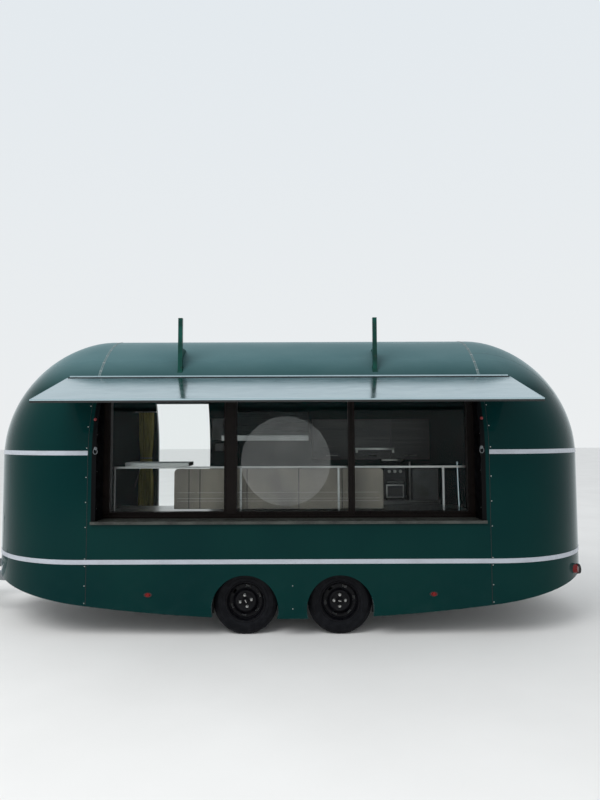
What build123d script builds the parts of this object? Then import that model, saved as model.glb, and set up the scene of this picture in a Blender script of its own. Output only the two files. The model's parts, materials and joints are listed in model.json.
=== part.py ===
from build123d import *
import os
from math import atan2, cos, degrees, radians, sin, sqrt

# A streamlined twin-axle food trailer: a hollow body with round end caps, a long
# serving window under a fixed bright canopy, a back door, a galley inside, and a
# drawbar with its coupling and jack. All sizes are in millimetres.
# Here X runs along the trailer with the drawbar at low X, the serving side faces
# low Y, Z is up and the floor that it stands on is z = 0. The last lines move the
# whole trailer so that the origin is under the middle of its box.

# Body shell
half_width = 1100.0
seam_x = 1790.0
cap_straight = 60.0
wall = 40.0
crown_z = 2770.0
crown_inset = 210.0
crown_lift = 100.0
eave_z = 2300.0
skirt_low_z = 160.0
skirt_rise_at_seam = 114.0
seat_gap = 0.3
# how far a cut or a joined form runs past a face
past = 1.0
panel_gap = 5.0

# Chassis and floor
floor_z = 560.0
floor_thick = 40.0
rail_y = 600.0
rail_width = 60.0
rail_height = 100.0
rail_front_x = -2250.0
rail_rear_x = 2250.0
cross_x = [-2150.0, -1500.0, -900.0, 30.0, 900.0, 1500.0, 2150.0]
cross_width = 50.0
cross_height = 80.0
drawbar_width = 60.0
drawbar_height = 80.0
drawbar_back_x = -1650.0
drawbar_bend_x = -2100.0
drawbar_tip_x = -3960.0
drawbar_tip_gap = 24.0

# Wheels and axles
tyre_radius = 287.5
tyre_width = 175.0
tyre_set_in = 70.0
tyre_round = 30.0
tyre_bead_inset = 14.0
tyre_side_lean = 3.0
rim_radius = 168.0
rim_wall = 8.0
flange_radius = 178.0
flange_thick = 4.0
well_radius = 150.0
well_half = 30.0
# how far the face that the nuts press on lies inside the tyre's outer side
disc_inset = 46.5
disc_thick = 6.0
# the pressed disc: radius, and how far it stands out from that face
disc_outline = [
    (70.0, 0.0),
    (78.0, 7.0),
    (90.0, 4.0),
    (108.0, -19.0),
    (140.0, -21.0),
    (152.0, -17.0),
]
vent_circle = 130.0
vent_length = 38.0
vent_width = 15.0
vent_count = 6
hub_radius = 34.0
hub_length = 70.0
hub_cap_radius = 28.0
hub_cap_length = 22.0
hub_cap_slant = 6.0
hub_cap_wall = 3.0
drum_radius = 92.0
drum_wall = 6.0
drum_depth = 75.0
drum_gap = 5.5
backplate_radius = 96.0
backplate_thick = 4.0
stub_radius = 20.0
stub_boss_radius = 45.0
running_fit = 0.05
wheel_x = [-388.0, 454.0]
arm_length = 165.0
arm_width = 70.0
arm_thick = 34.0
arm_end_gap = 8.0
beam_size = 80.0
beam_wall = 6.0
beam_cap = 20.0
arch_radius = 295.0
arch_centre_z = 240.0
wheel_box_height = 110.0
wheel_box_sheet = 20.0
wheel_box_clear = 50.0

# Serving window, its deep reveal and the canopy
hatch_margin = 35.0
hatch_low_z = 985.0
hatch_high_z = 2230.0
reveal_board = 40.0
sill_thick = 25.0
sill_nose = 22.0
window_set_back = 200.0
window_depth = 60.0
window_rail_low = 58.0
window_rail_high = 60.0
stile_front = 66.0
stile_rear = 68.0
# the uprights between panes: the middle as a share of half the frame, and the width
mullion_place = [-0.3150, 0.3370]
mullion_width = [115.0, 58.0]
glass_thick = 6.0
canopy_overhang = 317.0
canopy_root_z = 2312.0
canopy_length = 810.0
canopy_slope = 18.0
canopy_thick = 22.0
canopy_rail_height = 26.0
canopy_rail_depth = 44.0
canopy_rail_bury = 10.0
canopy_bays = 4

# Posts on the roof
post_x = [-1035.0, 818.0]
post_set_in = 318.0
post_size = 40.0
post_wall = 3.0
post_top_z = 2890.0
gusset_thick = 5.0
gusset_reach = 300.0
gusset_rise = 225.0
post_foot_lap = 5.0
post_foot_thick = 4.0

# Stripes round the body
stripe_low_z = 656.0
stripe_low_height = 40.0
stripe_high_z = 1616.0
stripe_high_height = 40.0
stripe_thick = 3.0

# Back door
door_low_x = -1665.0
door_high_x = -1020.0
door_high_z = 2160.0
# wide enough for the curved leaf's inner corner to swing past the jamb
door_latch_gap = 20.0
casing_width = 45.0
casing_thick = 15.0
door_rest_open = 165.0
hinge_offset = 10.0
hinge_radius = 7.0
hinge_pin_radius = 4.0
hinge_half = 30.0
hinge_plate = 50.0
hinge_plate_thick = 4.0
hinge_plate_clear = 6.0
knuckle_gap = 1.0
hinge_z = [760.0, 1130.0, 1500.0]
frame_face = 25.0
handle_z = 1080.0
handle_inset = 70.0
handle_reach = 110.0
handle_height = 20.0
handle_thick = 14.0
handle_stand = 40.0
rose_radius = 26.0
rose_thick = 8.0
spindle_radius = 9.0

# Galley
bench_end_gap = 55.0
bench_depth = 520.0
bench_top_z = 1060.0
top_thick = 40.0
top_overhang = 20.0
kick_height = 80.0
kick_depth = 50.0
cupboard_door_thick = 18.0
bench_door_count = 5
back_door_count = 4
cabinet_door_count = 3
rail_tube = 18.0
rail_top_z = 1477.0
# each post's place, and how far the rail reaches, as shares of half the bench
rail_post_place = [-0.974, -0.269, 0.274, 0.856]
rail_reach = 0.985
rail_set_back = 80.0
back_bench_low_x = -900.0
back_bench_depth = 600.0
back_bench_z = 1020.0
cabinet_low_x = 250.0
cabinet_end_gap = 50.0
cabinet_low_z = 1480.0
cabinet_high_z = 1960.0
cabinet_depth = 340.0
hood_low_x = -800.0
hood_high_x = 200.0
hood_low_z = 1710.0
hood_high_z = 2050.0
hood_depth = 620.0
hood_lip = 60.0
hood_sheet = 12.0
hood_back = 30.0

# Lamps
marker_x = [-1240.0, 1275.0]
marker_z = 371.0
marker_radius = 14.0
marker_depth = 10.0
tail_lamp_y = 700.0
tail_lamp_z = 500.0
tail_lamp_radius = 40.0
tail_lamp_depth = 30.0
tail_lamp_core = 160.0

# Coupling and jack
coupling_length = 300.0
coupling_width = 86.0
coupling_height = 96.0
coupling_back = 130.0
coupling_flange = 11.0
# shares of half the head's width
coupling_round_share = 0.8
coupling_neck_share = 0.7
ball_radius = 25.0
ball_z = 372.0
lever_radius = 8.0
lever_length = 150.0
lever_slope = 75.0
jack_set_back = 540.0
jack_tube_radius = 30.0
jack_tube_low_z = 330.0
jack_tube_high_z = 900.0
jack_overlap = 230.0
jack_leg_radius = 24.0
jack_slide_fit = 0.3
jack_foot_half = 90.0
jack_foot_thick = 12.0
jack_plate_thick = 10.0
jack_plate_half = 110.0
crank_radius = 8.0
crank_reach = 120.0
grip_radius = 12.0
grip_length = 96.0

# Values worked out from the ones above
crown_radius = half_width - crown_inset
spring_z = crown_z - half_width - crown_lift
side_radius = (half_width**2 + (crown_z - spring_z - crown_radius) ** 2 - crown_radius**2) / (
    2 * (half_width - crown_radius)
)
cap_x = seam_x + cap_straight
hatch_half = seam_x - hatch_margin
frame_half = hatch_half - reveal_board
mullion_sides = [
    (place * frame_half - width / 2, place * frame_half + width / 2)
    for place, width in zip(mullion_place, mullion_width)
]
# left edge and right edge of each pane, from the drawbar end
pane_spans = [
    (-frame_half + stile_front, mullion_sides[0][0]),
    (mullion_sides[0][1], mullion_sides[1][0]),
    (mullion_sides[1][1], frame_half - stile_rear),
]
canopy_half = hatch_half + canopy_overhang
bench_half = hatch_half - bench_end_gap
rail_posts_x = [place * bench_half for place in rail_post_place]
back_bench_high_x = bench_half
cabinet_high_x = bench_half - cabinet_end_gap
jack_x = drawbar_tip_x + jack_set_back
skirt_radius = (seam_x**2 + skirt_rise_at_seam**2) / (2 * skirt_rise_at_seam)
rail_low_z = floor_z - floor_thick - rail_height
beam_z = rail_low_z - beam_size / 2
drawbar_low_z = rail_low_z - drawbar_height
window_y = half_width - window_set_back
post_y = half_width - post_set_in
tyre_outer_y = half_width - tyre_set_in
tyre_inner_y = tyre_outer_y - tyre_width
tyre_mid_y = tyre_outer_y - tyre_width / 2
bead_y = tyre_width / 2 - tyre_bead_inset
mount_face_y = tyre_outer_y - disc_inset
drum_end_y = mount_face_y - disc_thick - drum_depth


def box(low_x, high_x, low_y, high_y, low_z, high_z):
    """A block between two corners."""
    size = (high_x - low_x, high_y - low_y, high_z - low_z)
    return Pos(low_x, low_y, low_z) * Box(*size, align=(Align.MIN, Align.MIN, Align.MIN))


def along_y(x, low_y, high_y, z, radius):
    """A round bar along Y."""
    return Pos(x, (low_y + high_y) / 2, z) * Rot(90, 0, 0) * Cylinder(radius, high_y - low_y)


def side_arc_end(inset):
    """Where the side arc of the roof meets the crown arc."""
    centre_y = half_width - side_radius
    rise = crown_z - spring_z - crown_radius
    angle = atan2(rise, -centre_y)
    radius = side_radius - inset
    return angle, (centre_y + radius * cos(angle), spring_z + radius * sin(angle))


def arc_point(centre, radius, angle):
    """A point on a circle, the angle in radians."""
    return (centre[0] + radius * cos(angle), centre[1] + radius * sin(angle))


def half_profile(inset, base_z):
    """Half of the body's cross-section, out from the middle, as a face."""
    side_centre = (half_width - side_radius, spring_z)
    crown_centre = (0, crown_z - crown_radius)
    angle, joint = side_arc_end(inset)
    foot = (half_width - inset, base_z)
    spring = (half_width - inset, spring_z)
    top = (0, crown_z - inset)
    outline = [
        Line((0, base_z), foot),
        Line(foot, spring),
        ThreePointArc(spring, arc_point(side_centre, side_radius - inset, angle / 2), joint),
        ThreePointArc(joint, arc_point(crown_centre, crown_radius - inset, (angle + radians(90)) / 2), top),
        Line(top, (0, base_z)),
    ]
    return make_face(outline)


def straight_body(inset, base_z, low_x, high_x):
    """The straight part of the body as a solid, over a stretch of X."""
    half = extrude(Plane.YZ.offset(low_x) * half_profile(inset, base_z), amount=high_x - low_x)
    return half + mirror(half, about=Plane.XZ)


def round_end(inset, base_z):
    """The rear end of the body as a solid: a short straight stretch and the round cap."""
    dome = revolve(Plane.YZ * half_profile(inset, base_z), Axis.Z, -180)
    return Pos(cap_x, 0, 0) * dome + straight_body(inset, base_z, seam_x, cap_x)


def under_skirt():
    """What is cut away below the curved lower edge of the skirt."""
    reach = cap_x + half_width + wall
    end_z = skirt_low_z + skirt_radius - sqrt(skirt_radius**2 - reach**2)
    outline = [
        ThreePointArc((-reach, end_z), (0, skirt_low_z), (reach, end_z)),
        Line((reach, end_z), (reach, -wall)),
        Line((reach, -wall), (-reach, -wall)),
        Line((-reach, -wall), (-reach, end_z)),
    ]
    deep = half_width + wall
    return extrude(Plane.XZ.offset(-deep) * make_face(outline), amount=2 * deep)


def straight_shell():
    """The hollow straight part of the body, one wall thick."""
    shell = straight_body(0, 0, -seam_x, seam_x) - straight_body(wall, -wall, -seam_x, seam_x)
    return shell - under_skirt()


def wheel_arches():
    """Round cuts for the wheels through both sides."""
    deep = half_width + wall
    cuts = [
        Pos(x, 0, arch_centre_z) * Rot(90, 0, 0) * Cylinder(arch_radius, 2 * deep) for x in wheel_x
    ]
    return cuts[0] + cuts[1]


def door_cut(gap, latch_gap):
    """The doorway's block through the back wall, made smaller by a gap, at the latch side by its own."""
    return box(
        door_low_x + latch_gap,
        door_high_x - gap,
        half_width / 2,
        half_width + wall,
        floor_z + gap,
        door_high_z - gap,
    )


def door_casing():
    """The lining round the doorway on the wall's inner face, bent with the wall."""
    face = wall + casing_thick
    lining = straight_body(wall, 0, -seam_x, seam_x) - straight_body(face, -wall, -seam_x, seam_x)
    ring = lining & (door_cut(-casing_width, -casing_width) - door_cut(0, 0))
    return ring & box(-seam_x, seam_x, 0, half_width, floor_z + seat_gap, crown_z)


def hatch_cut():
    """The serving window's block through the near wall."""
    return box(-hatch_half, hatch_half, -half_width - wall, -half_width / 2, hatch_low_z, hatch_high_z)


def body_panels():
    """Sides, roof and end caps."""
    shell = straight_shell()
    reach = seam_x + wall
    lower = box(-reach, reach, 0, half_width + wall, 0, eave_z)
    near = (shell & mirror(lower, about=Plane.XZ)) - wheel_arches() - hatch_cut()
    far = (shell & lower) - wheel_arches() - door_cut(0, 0) + door_casing()
    roof = shell & box(-reach, reach, -half_width, half_width, eave_z, crown_z + wall)
    cap = (round_end(0, 0) - round_end(wall, -wall)) - under_skirt()
    cap = cap - box(seam_x - wall, seam_x, -half_width, half_width, 0, crown_z)
    return {
        "side_near": near,
        "side_far": far,
        "roof_panel": roof,
        "cap_front": mirror(cap, about=Plane.YZ),
        "cap_rear": cap,
    }


def band(middle_z, height):
    """The slice of space in which a stripe lies."""
    reach = cap_x + half_width + wall
    deep = half_width + wall
    return box(-reach, reach, -deep, deep, middle_z - height / 2, middle_z + height / 2)


def stripes():
    """Thin raised bands that follow the body."""
    skin = -seat_gap
    face = -seat_gap - stripe_thick
    ends = round_end(face, 0) - round_end(skin, -wall)
    middle = straight_body(face, 0, -seam_x, seam_x) - straight_body(skin, -wall, -seam_x, seam_x)
    low_band = band(stripe_low_z, stripe_low_height)
    low_end = ends & low_band
    low = low_end + mirror(low_end, about=Plane.YZ) + (middle & low_band)
    high_end = ends & band(stripe_high_z, stripe_high_height)
    return {
        "stripe_low": low - door_cut(-frame_face, -frame_face),
        "stripe_high_front": mirror(high_end, about=Plane.YZ),
        "stripe_high_rear": high_end,
    }


def floor_parts():
    """The floor, the boxes over the wheels, and the chassis under them."""
    plan = SlotCenterToCenter(2 * cap_x, 2 * (half_width - wall - seat_gap))
    panel = extrude(Pos(0, 0, floor_z - floor_thick) * plan, amount=floor_thick)
    low_x = wheel_x[0] - tyre_radius - wheel_box_clear
    high_x = wheel_x[1] + tyre_radius + wheel_box_clear
    inner_y = tyre_inner_y - wheel_box_clear
    outer_y = half_width - wall - seat_gap
    base_z = floor_z - floor_thick
    cover = box(low_x, high_x, inner_y, outer_y, base_z, floor_z + wheel_box_height)
    hollow = box(
        low_x + wheel_box_sheet,
        high_x - wheel_box_sheet,
        inner_y + wheel_box_sheet,
        outer_y + wall,
        base_z - wall,
        floor_z + wheel_box_height - wheel_box_sheet,
    )
    far_box = cover - hollow
    hole = box(low_x, high_x, inner_y, outer_y + wall, base_z - wall, floor_z + wall)
    panel = panel - hole - mirror(hole, about=Plane.XZ)
    inner = rail_y - rail_width / 2
    outer = rail_y + rail_width / 2
    rail = box(rail_front_x, rail_rear_x, inner, outer, rail_low_z, rail_low_z + rail_height)
    half = cross_width / 2
    crosses = [box(x - half, x + half, -inner, inner, base_z - cross_height, base_z) for x in cross_x]
    return {
        "floor_panel": panel,
        "wheel_boxes": Compound([far_box, mirror(far_box, about=Plane.XZ)]),
        "chassis_rails": Compound([rail, mirror(rail, about=Plane.XZ)]),
        "chassis_crossmembers": Compound(crosses),
    }


def drawbar():
    """The two beams of the A-frame, side by side at the coupling."""
    half = drawbar_width / 2
    tip = drawbar_tip_gap / 2
    outline = Polyline(
        (drawbar_back_x, rail_y - half),
        (drawbar_back_x, rail_y + half),
        (drawbar_bend_x, rail_y + half),
        (drawbar_tip_x, tip + drawbar_width),
        (drawbar_tip_x, tip),
        (drawbar_bend_x, rail_y - half),
        close=True,
    )
    beam = extrude(Pos(0, 0, drawbar_low_z) * make_face(outline), amount=drawbar_height)
    return Compound([beam, mirror(beam, about=Plane.XZ)])


def coupling_head():
    """The cast head over the beams' tips, hollow for the ball, with its hand lever."""
    top_z = drawbar_low_z + drawbar_height
    nose_x = drawbar_tip_x - coupling_length + coupling_back
    half = coupling_width / 2
    neck_half = half * coupling_neck_share
    body = box(nose_x, drawbar_tip_x, -half, half, top_z - coupling_height, top_z)
    body = fillet(body.edges().filter_by(Axis.Z).group_by(Axis.X)[0], half * coupling_round_share)
    flange_half = drawbar_tip_gap / 2 + drawbar_width
    flange_top = top_z + coupling_flange
    back_x = drawbar_tip_x + coupling_back
    flange = box(drawbar_tip_x - half, back_x, -flange_half, flange_half, top_z, flange_top)
    neck = box(nose_x + half, drawbar_tip_x + half, -neck_half, neck_half, top_z, flange_top)
    ball_x = nose_x + half
    socket_radius = ball_radius + seat_gap
    low_z = top_z - coupling_height - past
    outline = [
        Line((0, low_z), (socket_radius, low_z)),
        Line((socket_radius, low_z), (socket_radius, ball_z)),
        ThreePointArc(
            (socket_radius, ball_z),
            arc_point((0, ball_z), socket_radius, radians(45)),
            (0, ball_z + socket_radius),
        ),
        Line((0, ball_z + socket_radius), (0, low_z)),
    ]
    socket = Pos(ball_x, 0, 0) * revolve(Plane.XZ * make_face(outline), Axis.Z, 360)
    lever = Pos(ball_x + half, 0, flange_top + coupling_flange) * Rot(0, lever_slope, 0)
    lever = lever * Cylinder(lever_radius, lever_length)
    return body + flange + neck + lever - socket


def upright(x, low_z, high_z, radius):
    """A round bar that stands on the trailer's middle line."""
    return Pos(x, 0, (low_z + high_z) / 2) * Cylinder(radius, high_z - low_z)


def jack_parts():
    """The jack's outer tube with its plate and crank, and the sliding leg with its foot."""
    top_z = drawbar_low_z + drawbar_height
    tube = upright(jack_x, jack_tube_low_z, jack_tube_high_z, jack_tube_radius)
    bore_top = jack_tube_high_z - jack_plate_thick
    bore = upright(jack_x, jack_tube_low_z - past, bore_top, jack_leg_radius + jack_slide_fit)
    slope = (rail_y - drawbar_tip_gap / 2 - drawbar_width / 2) / (drawbar_bend_x - drawbar_tip_x)
    low_x = jack_x - jack_plate_half
    high_x = jack_x + jack_plate_half
    reach = (high_x - drawbar_tip_x) * slope + drawbar_tip_gap / 2 + drawbar_width
    plate = box(low_x, high_x, -reach, reach, top_z, top_z + jack_plate_thick)
    crank_z = jack_tube_high_z + jack_tube_radius
    crank = upright(jack_x, jack_tube_high_z - jack_tube_radius, crank_z, crank_radius)
    arm = Pos(jack_x + crank_reach / 2, 0, crank_z) * Rot(0, 90, 0)
    arm = arm * Cylinder(crank_radius, crank_reach + 2 * crank_radius)
    grip_z = crank_z - crank_radius
    grip = upright(jack_x + crank_reach, grip_z, grip_z + grip_length, grip_radius)
    outer = tube + plate + crank + arm + grip - bore
    leg = upright(jack_x, jack_foot_thick, jack_tube_low_z + jack_overlap, jack_leg_radius)
    half = jack_foot_half
    foot = box(jack_x - half, jack_x + half, -half, half, 0, jack_foot_thick)
    return {"jack_tube": outer, "jack_leg": leg + foot}


def axle(x):
    """One rubber-sprung axle: its square beam, and at each end a swing arm, stub and brake backplate."""
    beam_x = x - arm_length
    beam_half = tyre_inner_y - arm_end_gap - arm_thick
    bore_size = beam_size - 2 * beam_wall
    bore_length = 2 * (beam_half - beam_cap)
    beam = Pos(beam_x, 0, beam_z) * Box(beam_size, 2 * beam_half, beam_size)
    beam = beam - Pos(beam_x, 0, beam_z) * Box(bore_size, bore_length, bore_size)
    drop = tyre_radius - beam_z
    angle = degrees(atan2(drop, arm_length))
    arm_y = tyre_inner_y - arm_end_gap - arm_thick / 2
    face_y = arm_y + arm_thick / 2
    plan = SlotCenterToCenter(sqrt(drop**2 + arm_length**2), arm_width)
    lean = Pos(beam_x + arm_length / 2, arm_y, beam_z + drop / 2) * Rot(0, -angle, 0) * Rot(90, 0, 0)
    blade = lean * extrude(plan, amount=arm_thick / 2, both=True)
    plate_y = drum_end_y - drum_gap
    stub = along_y(x, face_y, mount_face_y, tyre_radius, stub_radius)
    boss = along_y(x, face_y, plate_y - backplate_thick, tyre_radius, stub_boss_radius)
    backplate = along_y(x, plate_y - backplate_thick, plate_y, tyre_radius, backplate_radius)
    arm = blade + stub + boss + backplate
    return beam, Compound([arm, mirror(arm, about=Plane.XZ)])


def tyre():
    """A tyre about its own axle along Y, round at the shoulders, seated between the rim's flanges."""
    half = tyre_width / 2
    shoulder = tyre_radius - tyre_round
    tread = half - tyre_round
    bulge = (flange_radius + shoulder) / 2
    corner = arc_point((shoulder, tread), tyre_round, radians(45))
    outline = [
        Line((rim_radius, -bead_y), (rim_radius, bead_y)),
        Line((tyre_radius, tread), (tyre_radius, -tread)),
    ]
    for side in (-1, 1):
        lip = (flange_radius, side * bead_y)
        neck = (shoulder, side * half)
        outline.append(Line((rim_radius, side * bead_y), lip))
        outline.append(ThreePointArc(lip, (bulge, side * (half - tyre_side_lean)), neck))
        outline.append(ThreePointArc(neck, (corner[0], side * corner[1]), (tyre_radius, side * tread)))
    return revolve(make_face(outline), Axis.Y, 360)


def rim_barrel():
    """The rim's section: flanges, bead seats and the well that the disc is welded into."""
    inner = rim_radius - rim_wall
    seat = bead_y + seat_gap
    lip = seat + flange_thick
    half = [
        (well_radius, well_half),
        (inner, well_half + rim_radius - well_radius),
        (inner, seat),
        (rim_radius - rim_wall / 2, lip),
        (flange_radius, lip),
        (flange_radius, seat),
        (rim_radius, seat),
    ]
    other = [(radius, -y) for radius, y in reversed(half)]
    return make_face(Polyline(*half, *other, close=True))


def rim():
    """A pressed steel wheel with hub, cap and brake drum, about its axle along Y, outer face at low Y."""
    mount_y = disc_inset - tyre_width / 2
    back_y = mount_y + disc_thick
    hub_edge = hub_radius - past
    front = [(radius, mount_y - rise) for radius, rise in disc_outline]
    # behind its outer ring the disc is a sheet, and inside the drum a flat web
    back = [(radius, y + disc_thick) for radius, y in reversed(front) if radius > drum_radius + drum_wall]
    disc = Polyline((hub_edge, mount_y), *front, *back, (drum_radius, back_y), (hub_edge, back_y), close=True)
    bore = stub_radius + running_fit
    drum = Pos(drum_radius - drum_wall / 2, back_y + drum_depth / 2 - past / 2)
    drum = drum * Rectangle(drum_wall, drum_depth + past)
    hub = Pos((hub_radius + bore) / 2, mount_y + hub_length / 2) * Rectangle(hub_radius - bore, hub_length)
    cap_y = mount_y - hub_cap_length
    cap = Polyline(
        (0, cap_y),
        (hub_cap_radius - hub_cap_slant, cap_y),
        (hub_cap_radius, cap_y + hub_cap_slant),
        (hub_cap_radius, mount_y + past),
        (bore, mount_y + past),
        (bore, cap_y + hub_cap_wall),
        (0, cap_y + hub_cap_wall),
        close=True,
    )
    section = rim_barrel() + make_face(disc) + drum + hub + make_face(cap)
    wheel = revolve(section, Axis.Y, 360)
    vent = Pos(vent_circle, -tyre_width / 8, 0) * Box(vent_width, tyre_width / 4, vent_length)
    for turn in range(vent_count):
        wheel = wheel - Rot(0, 360 * turn / vent_count, 0) * vent
    return wheel


def wheels():
    """Four wheels; near ones face low Y and far ones face high Y."""
    rubber = tyre()
    steel = rim()
    parts = {}
    for x, end in zip(wheel_x, ("front", "rear")):
        near = Pos(x, -tyre_mid_y, tyre_radius)
        far = Pos(x, tyre_mid_y, tyre_radius) * Rot(0, 0, 180)
        parts["tyre_" + end + "_near"] = near * rubber
        parts["rim_" + end + "_near"] = near * steel
        parts["tyre_" + end + "_far"] = far * rubber
        parts["rim_" + end + "_far"] = far * steel
    return parts


def window():
    """The reveal's boards, the sill, the brown window frame and its panes."""
    inside = window_y - window_depth
    hole_half = hatch_half - reveal_board
    low_z = hatch_low_z + sill_thick
    high_z = hatch_high_z - reveal_board
    front = -half_width - wall
    outer = box(-hatch_half, hatch_half, front, -inside, low_z, hatch_high_z)
    hole = box(-hole_half, hole_half, front - wall, wall - inside, hatch_low_z, high_z)
    reveal = (outer - hole) & straight_body(0, 0, -seam_x, seam_x)
    sill = box(-hatch_half, hatch_half, -half_width - sill_nose, -inside, hatch_low_z, low_z)
    frame = box(-hole_half, hole_half, -window_y, -inside, low_z, high_z)
    glass_y = -window_y + window_depth / 2
    half = glass_thick / 2
    pane_low_z = low_z + window_rail_low
    pane_high_z = high_z - window_rail_high
    panes = []
    for low_x, high_x in pane_spans:
        frame = frame - box(low_x, high_x, -window_y - wall, wall - inside, pane_low_z, pane_high_z)
        panes.append(box(low_x, high_x, glass_y - half, glass_y + half, pane_low_z, pane_high_z))
    return {
        "hatch_reveal": reveal,
        "serving_sill": sill,
        "window_frame": frame,
        "window_glass": Compound(panes),
    }


def canopy():
    """The bright canopy over the window, ribbed below, and the bar that holds its upper edge."""
    root_y = half_width - side_radius + sqrt(side_radius**2 - (canopy_root_z - spring_z) ** 2)
    back_y = canopy_rail_bury - root_y
    front_y = back_y - canopy_rail_depth
    rail = box(-canopy_half, canopy_half, front_y, back_y, canopy_root_z - canopy_rail_height, canopy_root_z)
    end = round_end(-seat_gap, 0)
    rail = rail - straight_body(-seat_gap, 0, -seam_x, seam_x) - end - mirror(end, about=Plane.YZ)
    hang = Pos(0, front_y, canopy_root_z - canopy_rail_height / 2) * Rot(canopy_slope, 0, 0)
    half = canopy_thick / 2
    skin = canopy_thick / 4
    sheet = box(-canopy_half, canopy_half, -canopy_length, 0, -half, half)
    bay = 2 * canopy_half / canopy_bays
    for place in range(canopy_bays):
        low_x = -canopy_half + place * bay + skin
        sheet = sheet - box(low_x, low_x + bay - 2 * skin, skin - canopy_length, -skin, -canopy_thick, skin)
    sheet = hang * sheet
    sheet = sheet - box(-canopy_half, canopy_half, front_y, 0, 0, crown_z)
    return {"canopy_rail": rail, "canopy_sheet": sheet}


def roof_posts():
    """Square posts on the roof, each with a gusset behind it and a foot plate bent to the roof."""
    skin = straight_body(-seat_gap, 0, -seam_x, seam_x)
    sheet = straight_body(-seat_gap - post_foot_thick, 0, -seam_x, seam_x) - skin
    low_z = crown_z - crown_radius
    half = post_size / 2
    inner = half - post_wall
    front_y = -post_y - half
    back_y = -post_y + half
    roof_z = spring_z + sqrt(side_radius**2 - (post_y + side_radius - half_width) ** 2)
    tip = Polyline(
        (back_y - past, low_z),
        (back_y - past, roof_z + gusset_rise),
        (back_y + gusset_reach, roof_z + gusset_rise),
        (back_y + gusset_reach, low_z),
        close=True,
    )
    posts = []
    for x in post_x:
        outer = box(x - half, x + half, front_y, back_y, low_z, post_top_z)
        bore = box(x - inner, x + inner, -post_y - inner, -post_y + inner, low_z, post_top_z - post_wall)
        gusset = extrude(Plane.YZ.offset(x - gusset_thick / 2) * make_face(tip), amount=gusset_thick)
        foot_low_x = x - half - post_foot_lap
        foot_high_x = x + half + post_foot_lap
        foot = box(foot_low_x, foot_high_x, front_y - post_foot_lap, back_y + post_foot_lap, spring_z, crown_z)
        posts.append((outer - bore + gusset - skin) + (foot & sheet))
    return Compound(posts)


def hinge(axis_x, axis_y, z):
    """One hinge with the door shut: what rides on the leaf, and what stays on the wall."""
    at = Pos(axis_x, axis_y, z)
    bore = at * Cylinder(hinge_pin_radius + running_fit, 2 * hinge_half)
    reach_x = axis_x - hinge_plate
    half = hinge_half / 2
    strap = box(reach_x, axis_x - hinge_pin_radius, half_width, axis_y, z - half, z + half)
    moving = at * Cylinder(hinge_radius, hinge_half) + strap - bore
    skin_y = half_width + seat_gap
    far_x = axis_x + hinge_plate
    fixed = at * Cylinder(hinge_pin_radius, 2 * hinge_half)
    length = half - knuckle_gap
    for side in (-1, 1):
        middle = z + side * (hinge_half - length / 2)
        fixed = fixed + Pos(axis_x, axis_y, middle) * Cylinder(hinge_radius, length)
        fixed = fixed + box(axis_x, far_x, skin_y, axis_y, middle - length / 2, middle + length / 2)
    plate_x = axis_x + hinge_radius + hinge_plate_clear
    plate = box(plate_x, far_x, skin_y, half_width + hinge_plate_thick, z - hinge_half, z + hinge_half)
    return moving, fixed + plate


def door():
    """The back door's leaf, handle and hinges, with the leaf swung open."""
    axis_x = door_high_x - panel_gap / 2
    axis_y = half_width + hinge_offset
    leaf = straight_shell() & door_cut(panel_gap, door_latch_gap)
    fixed = []
    for z in hinge_z:
        moving, knuckles = hinge(axis_x, axis_y, z)
        leaf = leaf + moving
        fixed.append(knuckles)
    handle_x = door_low_x + door_latch_gap + handle_inset
    skin_y = half_width + seat_gap
    lever_y = skin_y + handle_stand
    half = handle_height / 2
    rose = along_y(handle_x, skin_y, skin_y + rose_thick, handle_z, rose_radius)
    spindle = along_y(handle_x, skin_y, lever_y, handle_z, spindle_radius)
    lever = box(
        handle_x - half,
        handle_x + handle_reach,
        lever_y - handle_thick / 2,
        lever_y + handle_thick / 2,
        handle_z - half,
        handle_z + half,
    )
    handle = rose + spindle + lever
    swing = Pos(axis_x, axis_y, 0) * Rot(0, 0, -door_rest_open) * Pos(-axis_x, -axis_y, 0)
    return {"door_leaf": swing * leaf, "door_handle": swing * handle, "door_hinges": Compound(fixed)}


def cupboard_doors(low_x, high_x, face_y, out, low_z, high_z, count):
    """A row of door panels on a cupboard's face, with a gap between each two; out is -1 or 1 along Y."""
    pitch = (high_x - low_x) / count
    half = panel_gap / 2
    near_y = min(face_y, face_y + out * cupboard_door_thick)
    far_y = max(face_y, face_y + out * cupboard_door_thick)
    panels = []
    for place in range(count):
        start = low_x + place * pitch
        panels.append(box(start + half, start + pitch - half, near_y, far_y, low_z + half, high_z - half))
    return panels


def guard_rail(near_y):
    """The rail over the front bench, on its posts."""
    half = rail_tube / 2
    reach = rail_reach * bench_half
    rail = box(-reach, reach, near_y - half, near_y + half, rail_top_z - rail_tube, rail_top_z)
    for x in rail_posts_x:
        rail = rail + box(x - half, x + half, near_y - half, near_y + half, bench_top_z, rail_top_z)
    return rail


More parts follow.
